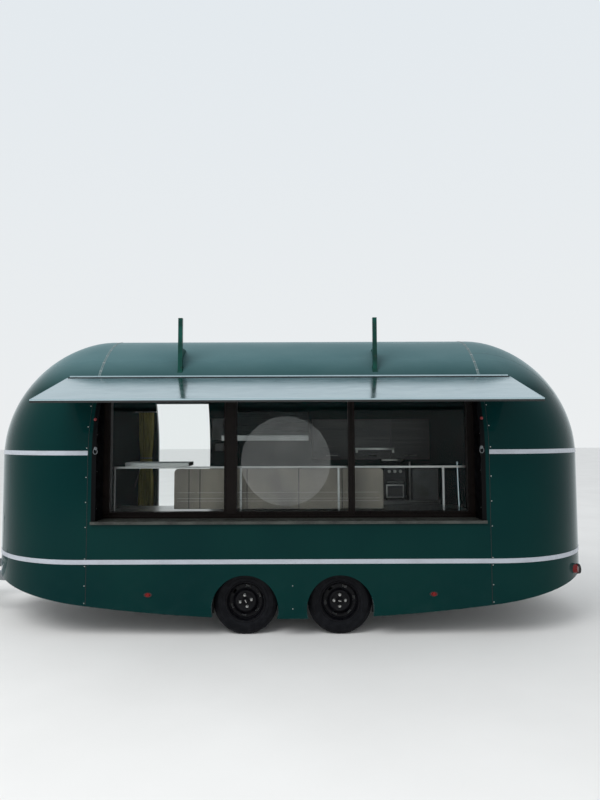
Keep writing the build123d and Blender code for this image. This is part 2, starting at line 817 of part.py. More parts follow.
def hood(back_y):
    """The extractor hood, a folded canopy open below."""
    front_y = back_y - hood_depth
    outline = Polyline(
        (front_y, hood_low_z),
        (front_y, hood_low_z + hood_lip),
        (back_y - hood_depth / 2, hood_high_z),
        (half_width, hood_high_z),
        (half_width, hood_low_z),
        close=True,
    )
    hollow = Polyline(
        (front_y + hood_sheet, hood_low_z - past),
        (front_y + hood_sheet, hood_low_z + hood_lip - hood_sheet / 2),
        (back_y - hood_depth / 2 + hood_sheet / 2, hood_high_z - hood_sheet),
        (back_y - hood_back, hood_high_z - hood_sheet),
        (back_y - hood_back, hood_low_z - past),
        close=True,
    )
    width = hood_high_x - hood_low_x
    outer = extrude(Plane.YZ.offset(hood_low_x) * make_face(outline), amount=width)
    inner_plane = Plane.YZ.offset(hood_low_x + hood_sheet)
    return outer - extrude(inner_plane * make_face(hollow), amount=width - 2 * hood_sheet)


def galley():
    """The benches with their doors, the guard rail on the front bench, the cupboards and the hood."""
    inside = straight_body(wall + seat_gap, 0, -seam_x, seam_x)
    front_y = -window_y + window_depth
    face_y = front_y + bench_depth - top_overhang - cupboard_door_thick
    under_z = bench_top_z - top_thick
    kick_z = floor_z + kick_height
    bench = box(-bench_half, bench_half, front_y, face_y, kick_z, under_z)
    bench = bench + box(-bench_half, bench_half, front_y, face_y - kick_depth, floor_z, kick_z)
    bench = bench + box(-bench_half, bench_half, front_y, front_y + bench_depth, under_z, bench_top_z)
    for panel in cupboard_doors(-bench_half, bench_half, face_y, 1, kick_z, under_z, bench_door_count):
        bench = bench + panel
    # the benches stand over the wheel boxes
    notch = box(
        wheel_x[0] - tyre_radius - wheel_box_clear - seat_gap,
        wheel_x[1] + tyre_radius + wheel_box_clear + seat_gap,
        tyre_inner_y - wheel_box_clear - seat_gap,
        half_width,
        floor_z,
        floor_z + wheel_box_height + seat_gap,
    )
    back_y = half_width - wall - seat_gap
    low_y = back_y - back_bench_depth + top_overhang + cupboard_door_thick
    back_under_z = back_bench_z - top_thick
    back_bench = box(back_bench_low_x, back_bench_high_x, low_y, back_y, kick_z, back_under_z)
    back_bench = back_bench + box(
        back_bench_low_x, back_bench_high_x, low_y + kick_depth, back_y, floor_z, kick_z
    )
    back_bench = back_bench + box(
        back_bench_low_x, back_bench_high_x, back_y - back_bench_depth, back_y, back_under_z, back_bench_z
    )
    for panel in cupboard_doors(
        back_bench_low_x, back_bench_high_x, low_y, -1, kick_z, back_under_z, back_door_count
    ):
        back_bench = back_bench + panel
    cabinet_y = back_y - cabinet_depth + cupboard_door_thick
    cabinets = box(cabinet_low_x, cabinet_high_x, cabinet_y, half_width, cabinet_low_z, cabinet_high_z)
    cabinets = cabinets & inside
    for panel in cupboard_doors(
        cabinet_low_x, cabinet_high_x, cabinet_y, -1, cabinet_low_z, cabinet_high_z, cabinet_door_count
    ):
        cabinets = cabinets + panel
    return {
        "bench_front": bench - mirror(notch, about=Plane.XZ),
        "bench_rail": guard_rail(front_y + rail_set_back),
        "bench_back": back_bench - notch,
        "wall_cabinets": cabinets,
        "extractor_hood": hood(back_y) & inside,
    }


def lamps():
    """Side marker lamps on the skirt and round tail lamps on the rear cap."""
    markers = []
    skin_y = half_width + seat_gap
    for x in marker_x:
        lamp = along_y(x, skin_y, skin_y + marker_depth, marker_z, marker_radius)
        markers.extend([lamp, mirror(lamp, about=Plane.XZ)])
    reach = cap_x + sqrt(half_width**2 - tail_lamp_y**2)
    core = Pos(reach, tail_lamp_y, tail_lamp_z) * Rot(0, 90, 0) * Cylinder(tail_lamp_radius, tail_lamp_core)
    tail = (core & round_end(-seat_gap - tail_lamp_depth, 0)) - round_end(-seat_gap, 0)
    return {
        "marker_lamps": Compound(markers),
        "tail_lamps": Compound([tail, mirror(tail, about=Plane.XZ)]),
    }


def build():
    """Every node of the trailer, before it is moved to its origin."""
    parts = {}
    parts.update(body_panels())
    parts.update(stripes())
    parts.update(floor_parts())
    parts["drawbar"] = drawbar()
    parts["coupling_head"] = coupling_head()
    parts.update(jack_parts())
    for x, end in zip(wheel_x, ("front", "rear")):
        beam, arms = axle(x)
        parts["axle_" + end] = beam
        parts["arms_" + end] = arms
    parts.update(wheels())
    parts.update(window())
    parts.update(canopy())
    parts["roof_posts"] = roof_posts()
    parts.update(door())
    parts.update(galley())
    parts.update(lamps())
    return parts


nodes = build()
whole = Compound([piece for part in nodes.values() for piece in part.solids()]).bounding_box()
origin_x = (whole.min.X + whole.max.X) / 2
origin_y = (whole.min.Y + whole.max.Y) / 2
os.makedirs("parts", exist_ok=True)
for name, part in nodes.items():
    export_step(Pos(-origin_x, -origin_y, 0) * part, "parts/" + name + ".step")
print("origin moved by", round(-origin_x, 3), round(-origin_y, 3), "floor at", round(whole.min.Z, 3))
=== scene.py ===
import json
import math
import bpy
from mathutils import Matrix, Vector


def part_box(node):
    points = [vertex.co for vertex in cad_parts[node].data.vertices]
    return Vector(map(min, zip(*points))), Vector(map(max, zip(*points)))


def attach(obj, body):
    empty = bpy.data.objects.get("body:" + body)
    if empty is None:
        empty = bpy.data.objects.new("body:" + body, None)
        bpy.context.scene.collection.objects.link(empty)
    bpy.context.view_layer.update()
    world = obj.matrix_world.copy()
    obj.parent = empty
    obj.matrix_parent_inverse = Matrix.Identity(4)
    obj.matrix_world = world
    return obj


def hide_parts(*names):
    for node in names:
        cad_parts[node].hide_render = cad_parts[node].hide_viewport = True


bl_info = {
    "name": "Food Trailer Looks",
    "version": (1, 0, 0),
    "blender": (4, 5, 0),
    "location": "View3D > Sidebar > Trailer",
    "description": "Dresses the rounded food trailer: paint, wheels, seams, window, canopy and galley",
    "category": "Object",
}

import bmesh
import bpy
from bpy.props import FloatProperty, FloatVectorProperty, PointerProperty
from bpy.types import Operator, Panel, PropertyGroup
from mathutils import Matrix, Vector

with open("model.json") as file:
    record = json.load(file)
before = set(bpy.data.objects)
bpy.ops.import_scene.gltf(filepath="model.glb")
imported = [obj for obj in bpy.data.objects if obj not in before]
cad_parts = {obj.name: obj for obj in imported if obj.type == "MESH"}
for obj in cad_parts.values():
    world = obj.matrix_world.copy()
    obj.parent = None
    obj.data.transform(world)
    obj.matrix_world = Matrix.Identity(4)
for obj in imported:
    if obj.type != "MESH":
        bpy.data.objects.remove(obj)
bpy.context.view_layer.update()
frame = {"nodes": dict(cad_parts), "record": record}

SKIN_NODES = ("side_near", "side_far", "roof_panel", "cap_front", "cap_rear")
WHEELS = (("front", "near"), ("front", "far"), ("rear", "near"), ("rear", "far"))
ROOF_LOW, ROOF_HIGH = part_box("roof_panel")
MIDDLE_X = (ROOF_LOW.x + ROOF_HIGH.x) / 2
MIDDLE_Y = (ROOF_LOW.y + ROOF_HIGH.y) / 2
SEAM_REACH = (ROOF_HIGH.x - ROOF_LOW.x) / 2
# the level about which the leaning sides and the roof are traced, and the seams' lowest level
TRACE_Z = 1.57
SKIRT_Z = 0.285
# farther from the body's middle than any of its skin
OUTSIDE = 4
# turns a template about Z to face the street
TO_STREET = Matrix.Rotation(math.radians(90), 4, "X")
SCREW_HEAD = ((0, 0.0016), (0.003, 0.0014), (0.0045, 0.0006), (0.0048, -0.0004))
MERGE_DISTANCE = 0.00002


class TrailerSizes(PropertyGroup):
    """The sizes that someone dressing this trailer would change"""

    rivet_radius: FloatProperty(
        name="Rivet radius", description="Half the width of a rivet's head",
        default=0.0048, unit="LENGTH",
    )
    seam_radius: FloatProperty(
        name="Seam bead", description="Half the width of the sealant in a seam",
        default=0.0022, unit="LENGTH",
    )
    tread_depth: FloatProperty(
        name="Tread depth", description="How deep the grooves in the tyres are",
        default=0.007, unit="LENGTH",
    )
    bolt_circle: FloatProperty(
        name="Bolt circle", description="Distance of the wheel nuts from the hub's middle",
        default=0.05, unit="LENGTH",
    )
    sash_width: FloatProperty(
        name="Sash width", description="Width of the raised sash round each pane",
        default=0.012, unit="LENGTH",
    )
    disc_radius: FloatProperty(
        name="Frosted disc", description="Radius of the plain frosted disc on the middle pane",
        default=0.415, unit="LENGTH",
    )
    camera_height: FloatProperty(
        name="Camera height", description="Height of the camera above the floor",
        default=1.757, unit="LENGTH",
    )
    camera_distance: FloatProperty(
        name="Camera distance", description="Distance of the camera from the body's middle line",
        default=6.469, unit="LENGTH",
    )


class TrailerColours(PropertyGroup):
    """The colours of the trailer's main finishes"""

    body: FloatVectorProperty(
        name="Body paint", description="Deep teal green of the body",
        default=(0.0003, 0.021, 0.021), subtype="COLOR", size=3, min=0, max=1,
    )
    stripe: FloatVectorProperty(
        name="Stripes", description="Pale lavender grey of the stripes",
        default=(0.42, 0.45, 0.5), subtype="COLOR", size=3, min=0, max=1,
    )
    post: FloatVectorProperty(
        name="Roof posts", description="Emerald green of the roof posts",
        default=(0.0005, 0.03, 0.022), subtype="COLOR", size=3, min=0, max=1,
    )
    frame: FloatVectorProperty(
        name="Window frame", description="Dark brown of the window frame",
        default=(0.004, 0.0022, 0.0016), subtype="COLOR", size=3, min=0, max=1,
    )


def sizes():
    """The sizes as they stand in the scene."""
    return bpy.context.scene.trailer_sizes


def colours():
    """The colours as they stand in the scene."""
    return bpy.context.scene.trailer_colours


class Finish:
    """A surface finish: one shader, and patterns on the object's own coordinates."""

    def __init__(self, name, colour, roughness, metallic=0.0, specular=0.5):
        self.material = bpy.data.materials.new(name)
        self.material.use_nodes = True
        self.nodes = self.material.node_tree.nodes
        self.links = self.material.node_tree.links
        self.shader = self.nodes["Principled BSDF"]
        self.place = self.nodes.new("ShaderNodeTexCoord").outputs["Object"]
        self.set("Base Color", (*colour, 1))
        self.set("Roughness", roughness)
        self.set("Metallic", metallic)
        self.set("Specular IOR Level", specular)

    def set(self, socket, value):
        """Sets a value that is the same all over."""
        self.shader.inputs[socket].default_value = value

    def drive(self, socket, pattern):
        """Lets a pattern give one of the shader's values."""
        self.links.new(pattern, self.shader.inputs[socket])

    def node(self, kind, **values):
        """A new node with its input values set by name."""
        node = self.nodes.new(kind)
        for name, value in values.items():
            node.inputs[name.replace("_", " ")].default_value = value
        return node

    def stretched(self, stretch):
        """The object's coordinates, scaled along each axis."""
        mapping = self.node("ShaderNodeMapping", Scale=stretch)
        self.links.new(self.place, mapping.inputs["Vector"])
        return mapping.outputs["Vector"]

    def noise(self, scale, detail, stretch=(1, 1, 1)):
        """Cloudy noise; stretch scales it along each axis."""
        node = self.node("ShaderNodeTexNoise", Scale=scale, Detail=detail)
        self.links.new(self.stretched(stretch), node.inputs["Vector"])
        return node.outputs["Fac"]

    def cells(self, scale):
        """Flat cells of random value, such as zinc spangle."""
        node = self.node("ShaderNodeTexVoronoi", Scale=scale)
        self.links.new(self.place, node.inputs["Vector"])
        split = self.nodes.new("ShaderNodeSeparateColor")
        self.links.new(node.outputs["Color"], split.inputs["Color"])
        return split.outputs["Red"]

    def ranged(self, value, low, high, new_low, new_high):
        """A value's range stretched to a new one, and held there."""
        node = self.node("ShaderNodeMapRange", From_Min=low, From_Max=high, To_Min=new_low, To_Max=new_high)
        self.links.new(value, node.inputs["Value"])
        return node.outputs["Result"]

    def height(self, low, high, below, above):
        """One value below the low height that runs to another one above the high height."""
        split = self.nodes.new("ShaderNodeSeparateXYZ")
        self.links.new(self.place, split.inputs["Vector"])
        return self.ranged(split.outputs["Z"], low, high, below, above)

    def clouds(self, scale, detail, low, high, most=1.0, stretch=(1, 1, 1)):
        """Noise that is nothing up to its low value and most from its high value on."""
        return self.ranged(self.noise(scale, detail, stretch), low, high, 0, most)

    def combined(self, operation, first, second):
        """Two patterns added or multiplied."""
        node = self.nodes.new("ShaderNodeMath")
        node.operation = operation
        self.links.new(first, node.inputs[0])
        self.links.new(second, node.inputs[1])
        return node.outputs["Value"]

    def mixed(self, share, first, second):
        """Two colours, or other mixes of them, blended by a pattern."""
        node = self.nodes.new("ShaderNodeMix")
        node.data_type = "RGBA"
        self.links.new(share, node.inputs["Factor"])
        for name, value in (("A", first), ("B", second)):
            socket = [s for s in node.inputs if s.name == name and s.type == "RGBA"][0]
            if isinstance(value, tuple):
                socket.default_value = (*value, 1)
            else:
                self.links.new(value, socket)
        return [s for s in node.outputs if s.type == "RGBA"][0]

    def paint(self, share, first, second):
        """Colours the surface with a blend of two colours."""
        self.drive("Base Color", self.mixed(share, first, second))

    def roughen(self, pattern, low, high):
        """Roughness that runs from low to high with a pattern."""
        self.drive("Roughness", self.ranged(pattern, 0.3, 0.7, low, high))

    def bump(self, pattern, depth, strength=1.0):
        """Bumps by a pattern; a second call lies over the first."""
        node = self.node("ShaderNodeBump", Strength=strength, Distance=depth)
        self.links.new(pattern, node.inputs["Height"])
        before = self.shader.inputs["Normal"].links
        if before:
            self.links.new(before[0].from_socket, node.inputs["Normal"])
        self.drive("Normal", node.outputs["Normal"])


def body_paint():
    """Gloss enamel on slightly wavy sheet, dusty low down, matt on top of the roof, where the colour is a
    painted reflection of the bright sky.
    """
    colour = tuple(colours().body)
    finish = Finish("body_green", colour, 0.1, specular=0.06)
    finish.set("Sheen Weight", 0.3)
    finish.set("Sheen Roughness", 0.25)
    finish.set("Sheen Tint", (0.75, 0.95, 1.0, 1))
    faded = (colour[0] * 2 + 0.0006, colour[1] * 1.25, colour[2] * 1.15)
    tone = finish.mixed(finish.clouds(0.9, 2, 0.35, 0.65), colour, faded)
    specks = finish.clouds(7, 6, 0.45, 0.75, 0.4)
    dust = finish.combined("MULTIPLY", finish.height(0.18, 0.6, 1.0, 0.0), specks)
    # painted light: the pale cloudy colour on top of the roof is a painted reflection of the bright sky
    film = finish.clouds(1.4, 6, 0.3, 0.7, stretch=(1, 2, 1))
    painted_sky_reflection = finish.mixed(film, (0.055, 0.12, 0.13), (0.075, 0.145, 0.155))
    dusty = finish.mixed(dust, tone, (0.01, 0.035, 0.034))
    # above 2.2 m the colour turns to the painted sky reflection
    finish.paint(finish.height(2.2, 2.5, 0.0, 1.0), dusty, painted_sky_reflection)
    gloss = finish.ranged(finish.noise(2.5, 5), 0.3, 0.7, 0.05, 0.12)
    finish.drive("Roughness", finish.combined("ADD", gloss, finish.height(2.3, 2.6, 0.0, 0.3)))
    finish.bump(finish.noise(1.6, 1), 0.014, 0.4)
    finish.bump(finish.noise(420, 2), 0.0002, 0.12)
    return finish.material


def stripe_film():
    """Pale gloss strip with faint grime."""
    colour = tuple(colours().stripe)
    finish = Finish("stripe_lilac", colour, 0.3)
    finish.paint(finish.clouds(5, 7, 0.45, 0.8, 0.5, (1, 1, 4)), colour, (0.27, 0.29, 0.31))
    finish.roughen(finish.noise(12, 4), 0.2, 0.42)
    return finish.material


def mirror_steel():
    """Bright stainless sheet, with faint dents, smears and grain."""
    finish = Finish("bright_steel", (0.6, 0.68, 0.72), 0.16, 1.0)
    smears = finish.clouds(3, 6, 0.4, 0.75, 0.6, (1, 4, 1))
    finish.paint(smears, (0.43, 0.55, 0.59), (0.37, 0.48, 0.52))
    finish.roughen(finish.noise(5, 4, (1, 3, 1)), 0.12, 0.2)
    finish.bump(finish.noise(1.3, 1), 0.002, 0.2)
    return finish.material


def brown_coat():
    """Dark brown powder coat, with an orange peel and a little dust."""
    colour = tuple(colours().frame)
    finish = Finish("brown_profile", colour, 0.35, specular=0.12)
    finish.paint(finish.clouds(9, 6, 0.45, 0.8, 0.35), colour, (0.014, 0.008, 0.006))
    finish.roughen(finish.noise(20, 4), 0.26, 0.45)
    finish.bump(finish.noise(900, 2), 0.0002, 0.3)
    return finish.material


def dark_board():
    """Dark painted lining board with faint streaks."""
    finish = Finish("reveal_dark", (0.0012, 0.0015, 0.002), 0.5, specular=0.08)
    streaks = finish.clouds(4, 6, 0.4, 0.8, 0.6, (3, 3, 0.6))
    finish.paint(streaks, (0.0012, 0.0014, 0.0018), (0.004, 0.004, 0.005))
    finish.roughen(finish.noise(14, 5), 0.3, 0.55)
    finish.bump(finish.noise(60, 4), 0.0006, 0.2)
    return finish.material


def worn_laminate():
    """The sill's grey laminate, stained and rubbed."""
    finish = Finish("sill_grey", (0.05, 0.055, 0.05), 0.45, specular=0.3)
    stains = finish.clouds(6, 8, 0.38, 0.7, stretch=(1, 2, 2))
    stained = finish.mixed(stains, (0.055, 0.06, 0.053), (0.02, 0.021, 0.019))
    finish.paint(finish.clouds(90, 3, 0.55, 0.8, 0.6), stained, (0.12, 0.12, 0.105))
    finish.roughen(finish.noise(25, 4), 0.35, 0.6)
    finish.bump(finish.noise(300, 3), 0.0003, 0.25)
    return finish.material


def clear_glass():
    """Clear sheet glass with a trace of smears."""
    finish = Finish("window_pane", (0.93, 0.96, 0.95), 0.0)
    finish.set("Transmission Weight", 1.0)
    finish.set("IOR", 1.16)
    finish.roughen(finish.noise(3, 6, (1, 1, 3)), 0.0, 0.03)
    return finish.material


def emerald_paint():
    """Brush paint on the posts, with brush marks along them."""
    colour = tuple(colours().post)
    finish = Finish("post_green", colour, 0.3, specular=0.2)
    marks = finish.mixed(finish.clouds(8, 4, 0.4, 0.7), colour, tuple(c * 1.9 for c in colour))
    finish.paint(finish.clouds(30, 6, 0.62, 0.68), marks, (0.012, 0.03, 0.024))
    finish.bump(finish.noise(160, 3, (3, 3, 0.2)), 0.0005, 0.4)
    return finish.material


def galvanised_steel():
    """Dull zinc coat with spangle and white bloom."""
    finish = Finish("galvanised", (0.2, 0.21, 0.22), 0.55, 0.5)
    spangle = finish.mixed(finish.cells(90), (0.15, 0.165, 0.175), (0.25, 0.265, 0.275))
    finish.paint(finish.clouds(22, 6, 0.5, 0.75, 0.4), spangle, (0.24, 0.245, 0.24))
    finish.roughen(finish.cells(90), 0.45, 0.62)
    finish.bump(finish.noise(150, 3), 0.0003, 0.3)
    return finish.material


def black_enamel():
    """Black enamel on the wheels and arms, with brake dust and scuffs."""
    finish = Finish("black_steel", (0.0018, 0.0018, 0.003), 0.3, specular=0.14)
    finish.paint(finish.clouds(24, 6, 0.4, 0.75, 0.7), (0.0018, 0.0018, 0.003), (0.008, 0.008, 0.0095))
    finish.roughen(finish.noise(30, 4), 0.22, 0.5)
    finish.bump(finish.noise(380, 3), 0.0002, 0.3)
    return finish.material


def tyre_rubber():
    """Matt black rubber with pale road dust on it."""
    finish = Finish("tyre_rubber", (0.003, 0.0035, 0.005), 0.6, specular=0.12)
    finish.paint(finish.clouds(16, 8, 0.42, 0.75, 0.75), (0.003, 0.0033, 0.0048), (0.011, 0.0115, 0.014))
    finish.roughen(finish.noise(60, 4), 0.45, 0.7)
    finish.bump(finish.noise(500, 3), 0.0003, 0.35)
    return finish.material


def vinyl_floor():
    """Grey speckled vinyl."""
    finish = Finish("floor_board", (0.2, 0.21, 0.21), 0.5)
    specks = finish.ranged(finish.cells(240), 0.4, 0.6, 0, 1)
    speckled = finish.mixed(specks, (0.16, 0.17, 0.17), (0.24, 0.25, 0.25))
    finish.paint(finish.clouds(4, 7, 0.5, 0.75, 0.7), speckled, (0.09, 0.08, 0.07))
    finish.roughen(finish.noise(18, 4), 0.38, 0.6)
    return finish.material


def brushed_steel():
    """Brushed stainless sheet of the benches and hood."""
    finish = Finish("galley_steel", (0.5, 0.51, 0.51), 0.3, 1.0)
    tone = finish.clouds(2.2, 5, 0.35, 0.7, stretch=(1, 1, 1.5))
    finish.paint(tone, (0.3, 0.31, 0.31), (0.46, 0.46, 0.45))
    finish.roughen(finish.noise(40, 4, (0.05, 1, 6)), 0.22, 0.42)
    finish.bump(finish.noise(260, 3, (0.03, 1, 5)), 0.0002, 0.3)
    return finish.material


def cupboard_board():
    """Dark laminated cupboard board with a fine grain."""
    finish = Finish("cupboard_board", (0.03, 0.032, 0.033), 0.4)
    grain = finish.clouds(30, 5, 0.4, 0.7, stretch=(0.08, 1, 2))
    finish.paint(grain, (0.022, 0.024, 0.025), (0.05, 0.05, 0.048))
    finish.roughen(finish.noise(25, 4), 0.3, 0.5)
    return finish.material


def red_lens():
    """Red moulded lens, ribbed inside, with dust."""
    finish = Finish("lamp_red", (0.16, 0.004, 0.004), 0.25, specular=0.25)
    finish.paint(finish.clouds(60, 6, 0.45, 0.8, 0.6), (0.17, 0.004, 0.004), (0.09, 0.02, 0.018))
    finish.bump(finish.noise(700, 1, (0.2, 1, 1)), 0.0008, 0.5)
    return finish.material


def bright_zinc():
    """Bright zinc plate with a few dull stains."""
    finish = Finish("zinc", (0.56, 0.56, 0.53), 0.32, 1.0)
    finish.paint(finish.clouds(130, 5, 0.45, 0.7, 0.8), (0.6, 0.6, 0.58), (0.42, 0.41, 0.39))
    finish.roughen(finish.noise(50, 4), 0.24, 0.5)
    return finish.material


def black_rubber():
    """Seals and sealant beads, and the black boards and strips of painted shade by the wheels and under the
    canopy.
    """
    finish = Finish("seal_rubber", (0.01, 0.011, 0.011), 0.6)
    finish.paint(finish.clouds(80, 4, 0.4, 0.8, 0.6), (0.009, 0.01, 0.01), (0.03, 0.03, 0.03))
    finish.roughen(finish.noise(120, 3), 0.5, 0.75)
    return finish.material


def frosted_film():
    """Frosted film on a pane, plain, with faint creases."""
    finish = Finish("frosted_film", (0.45, 0.46, 0.45), 0.6)
    finish.paint(finish.clouds(5, 6, 0.4, 0.7), (0.42, 0.43, 0.42), (0.6, 0.6, 0.58))
    finish.set("Alpha", 0.2)
    return finish.material


def pale_sealant():
    """Old pale sealant in the roof's seams, grimy in places."""
    finish = Finish("roof_sealant", (0.1, 0.15, 0.155), 0.55)
    finish.paint(finish.clouds(40, 6, 0.4, 0.7, 0.45), (0.12, 0.18, 0.185), (0.05, 0.09, 0.095))
    finish.bump(finish.noise(200, 3), 0.0004, 0.4)
    return finish.material


def beige_board():
    """The guard boards behind the rail: pale beige film on sheet, a little scuffed."""
    finish = Finish("guard_board", (0.2, 0.175, 0.14), 0.5)
    scuffs = finish.clouds(3, 5, 0.35, 0.7, stretch=(1, 1, 0.6))
    finish.paint(scuffs, (0.24, 0.21, 0.17), (0.13, 0.115, 0.1))
    finish.roughen(finish.noise(20, 4), 0.4, 0.6)
    finish.bump(finish.noise(70, 3, (0.2, 1, 3)), 0.0004, 0.3)
    return finish.material


def ochre_cloth():
    """The dull green-yellow curtain tied back beside the doorway."""
    finish = Finish("curtain_cloth", (0.13, 0.12, 0.03), 0.85)
    # painted shade: lighter and darker streaks down the cloth stand for the shade of its folds
    painted_fold_shade = finish.clouds(9, 5, 0.35, 0.7, stretch=(1, 1, 0.3))
    finish.paint(painted_fold_shade, (0.5, 0.43, 0.11), (0.24, 0.21, 0.06))
    finish.bump(finish.noise(900, 2), 0.0004, 0.4)
    return finish.material


def red_plastic():
    """Red moulded knobs."""
    finish = Finish("knob_red", (0.25, 0.015, 0.015), 0.35)
    finish.paint(finish.clouds(90, 5, 0.45, 0.8, 0.8), (0.25, 0.014, 0.014), (0.1, 0.03, 0.03))
    return finish.material


SLOT_FINISHES = {
    "body_green": body_paint,
    "stripe_lilac": stripe_film,
    "bright_steel": mirror_steel,
    "brown_profile": brown_coat,
    "reveal_dark": dark_board,
    "sill_grey": worn_laminate,
    "window_pane": clear_glass,
    "post_green": emerald_paint,
    "galvanised": galvanised_steel,
    "black_steel": black_enamel,
    "tyre_rubber": tyre_rubber,
    "floor_board": vinyl_floor,
    "galley_steel": brushed_steel,
    "cupboard_grey": cupboard_board,
    "lamp_red": red_lens,
    "zinc": bright_zinc,
}
OTHER_FINISHES = {
    "seal_rubber": black_rubber,
    "frosted_film": frosted_film,
    "knob_red": red_plastic,
    "roof_sealant": pale_sealant,
    "guard_board": beige_board,
    "curtain_cloth": ochre_cloth,
}
finishes = {}


def clear_selection():
    """Leaves edit mode and selects nothing."""
    if bpy.context.object is not None and bpy.context.object.mode != "OBJECT":
        bpy.ops.object.mode_set(mode="OBJECT")
    bpy.ops.object.select_all(action="DESELECT")


def pick(piece):
    """Selects one object alone and makes it the active one."""
    clear_selection()
    piece.select_set(True)
    bpy.context.view_layer.objects.active = piece


def discard(*templates):
    """Takes templates out of the scene."""
    for template in templates:
        bpy.data.objects.remove(template)


def settle(piece, matrix=None):
    """Puts an object's place into its mesh."""
    pick(piece)
    if matrix is not None:
        piece.matrix_world = matrix
    bpy.ops.object.transform_apply(location=True, rotation=True, scale=True)
    return piece


def block(low, high):
    """A box between two corners, to be shaped further."""
    clear_selection()
    low, high = Vector(low), Vector(high)
    bpy.ops.mesh.primitive_cube_add(size=1, location=(low + high) / 2, scale=high - low)
    return settle(bpy.context.object)


def round_edges(piece, width, segments=2, angle=30.0):
    """Rounds a piece's sharp edges with a bevel."""
    pick(piece)
    bpy.ops.object.modifier_add(type="BEVEL")
    bevel = piece.modifiers[-1]
    bevel.width = width
    bevel.segments = segments
    bevel.limit_method = "ANGLE"
    bevel.angle_limit = math.radians(angle)
    bpy.ops.object.modifier_apply(modifier=bevel.name)
    return piece


def bar(low, high, width, segments=2):
    """A box between two corners with its edges rounded."""
    return round_edges(block(low, high), width, segments)


def thicken(piece, thickness, offset=-1.0):
    """Gives a sheet its wall."""
    pick(piece)
    bpy.ops.object.modifier_add(type="SOLIDIFY")
    solid = piece.modifiers[-1]
    solid.thickness = thickness
    solid.offset = offset
    solid.use_even_offset = True
    bpy.ops.object.modifier_apply(modifier=solid.name)
    return piece


def trace(points):
    """Leaves an open line of edges through the points, in edit mode, selected all over."""
    clear_selection()
    bpy.ops.mesh.primitive_plane_add(size=0.01)
    bpy.ops.object.mode_set(mode="EDIT")
    bpy.ops.mesh.select_mode(type="VERT")
    bpy.ops.mesh.select_all(action="SELECT")
    bpy.ops.mesh.merge(type="CENTER")
    bpy.ops.transform.translate(value=points[0])
    for before, after in zip(points, points[1:]):
        step = Vector(after) - Vector(before)
        bpy.ops.mesh.extrude_vertices_move(TRANSFORM_OT_translate={"value": step})
    bpy.ops.mesh.select_all(action="SELECT")
    return bpy.context.object


def spun(profile, steps):
    """A profile of (radius, height) points turned round the Z axis."""
    piece = trace([(radius, 0, height) for radius, height in profile])
    bpy.ops.mesh.spin(steps=steps, angle=math.tau, center=(0, 0, 0), axis=(0, 0, 1))
    bpy.ops.mesh.select_all(action="SELECT")
    bpy.ops.mesh.remove_doubles(threshold=MERGE_DISTANCE)
    bpy.ops.mesh.normals_make_consistent(inside=False)
    bpy.ops.object.mode_set(mode="OBJECT")
    return piece


def strand(points, radius, closed=False, corners=2):
    """A round bead or rod along the points."""
    points = [Vector(p) for p in points]
    if closed:
        points.append(points[0])
    trace(points)
    bpy.ops.mesh.remove_doubles(threshold=MERGE_DISTANCE)
    bpy.ops.object.mode_set(mode="OBJECT")
    bpy.ops.object.convert(target="CURVE")
    curve = bpy.context.object.data
    curve.bevel_depth = radius
    curve.bevel_resolution = corners
    curve.use_fill_caps = True
    bpy.ops.object.convert(target="MESH")
    return bpy.context.object


def select_faces(piece, wanted):
    """Goes into edit mode with the faces selected whose middle and normal are wanted."""
    pick(piece)
    bpy.ops.object.mode_set(mode="EDIT")
    bpy.ops.mesh.select_mode(type="FACE")
    bpy.ops.mesh.select_all(action="DESELECT")
    mesh = bmesh.from_edit_mesh(piece.data)
    for face in mesh.faces:
        face.select = wanted(face.calc_center_median(), face.normal)
    mesh.select_flush_mode()
    bmesh.update_edit_mesh(piece.data)


def inset_faces(piece, wanted, *insets):
    """Insets the wanted faces, once for each (thickness, depth)."""
    select_faces(piece, wanted)
    for thickness, depth in insets:
        bpy.ops.mesh.inset(thickness=thickness, depth=depth)
    bpy.ops.object.mode_set(mode="OBJECT")


def faces_street(middle, normal):
    """Whether a face looks towards the street."""
    return normal.y < -0.9


def copy_of(piece, matrix):
    """A copy with its own mesh, at a new place."""
    twin = piece.copy()
    twin.data = piece.data.copy()
    bpy.context.scene.collection.objects.link(twin)
    return settle(twin, matrix)


def joined(pieces):
    """Several objects as one."""
    clear_selection()
    for piece in pieces:
        piece.select_set(True)
    bpy.context.view_layer.objects.active = pieces[0]
    if len(pieces) > 1:
        bpy.ops.object.join()
    return bpy.context.view_layer.objects.active


def spread_copies(template, matrices):
    """Copies of a template at each place, joined; the template goes."""
    twins = [copy_of(template, matrix) for matrix in matrices]
    discard(template)
    return joined(twins)


def finish_piece(piece, name, finish, body="trailer", smooth=35.0):
    """Names a piece, smooths it, and gives it its finish and its body."""
    settle(piece)
    piece.name = name
    piece.data.name = name
    bpy.ops.object.shade_smooth_by_angle(angle=math.radians(smooth))
    piece.data.materials.clear()
    piece.data.materials.append(finishes[finish])
    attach(piece, body)
    return piece


def meets(start, direction, node):
    """Where a line first meets one CAD node and the way the surface faces there, or None."""
    start, direction = Vector(start), Vector(direction).normalized()
    hit, place, normal, _ = frame["nodes"][node].ray_cast(start, direction)
    if not hit:
        return None
    return place, normal if normal.dot(direction) < 0 else -normal


def skin_point(start, direction):
    """Where a line first meets the body's skin and the way the surface faces there."""
    hits = [hit for hit in (meets(start, direction, node) for node in SKIN_NODES) if hit]
    if not hits:
        raise RuntimeError(f"no skin was met from {tuple(start)}")
    return min(hits, key=lambda hit: (hit[0] - Vector(start)).length)


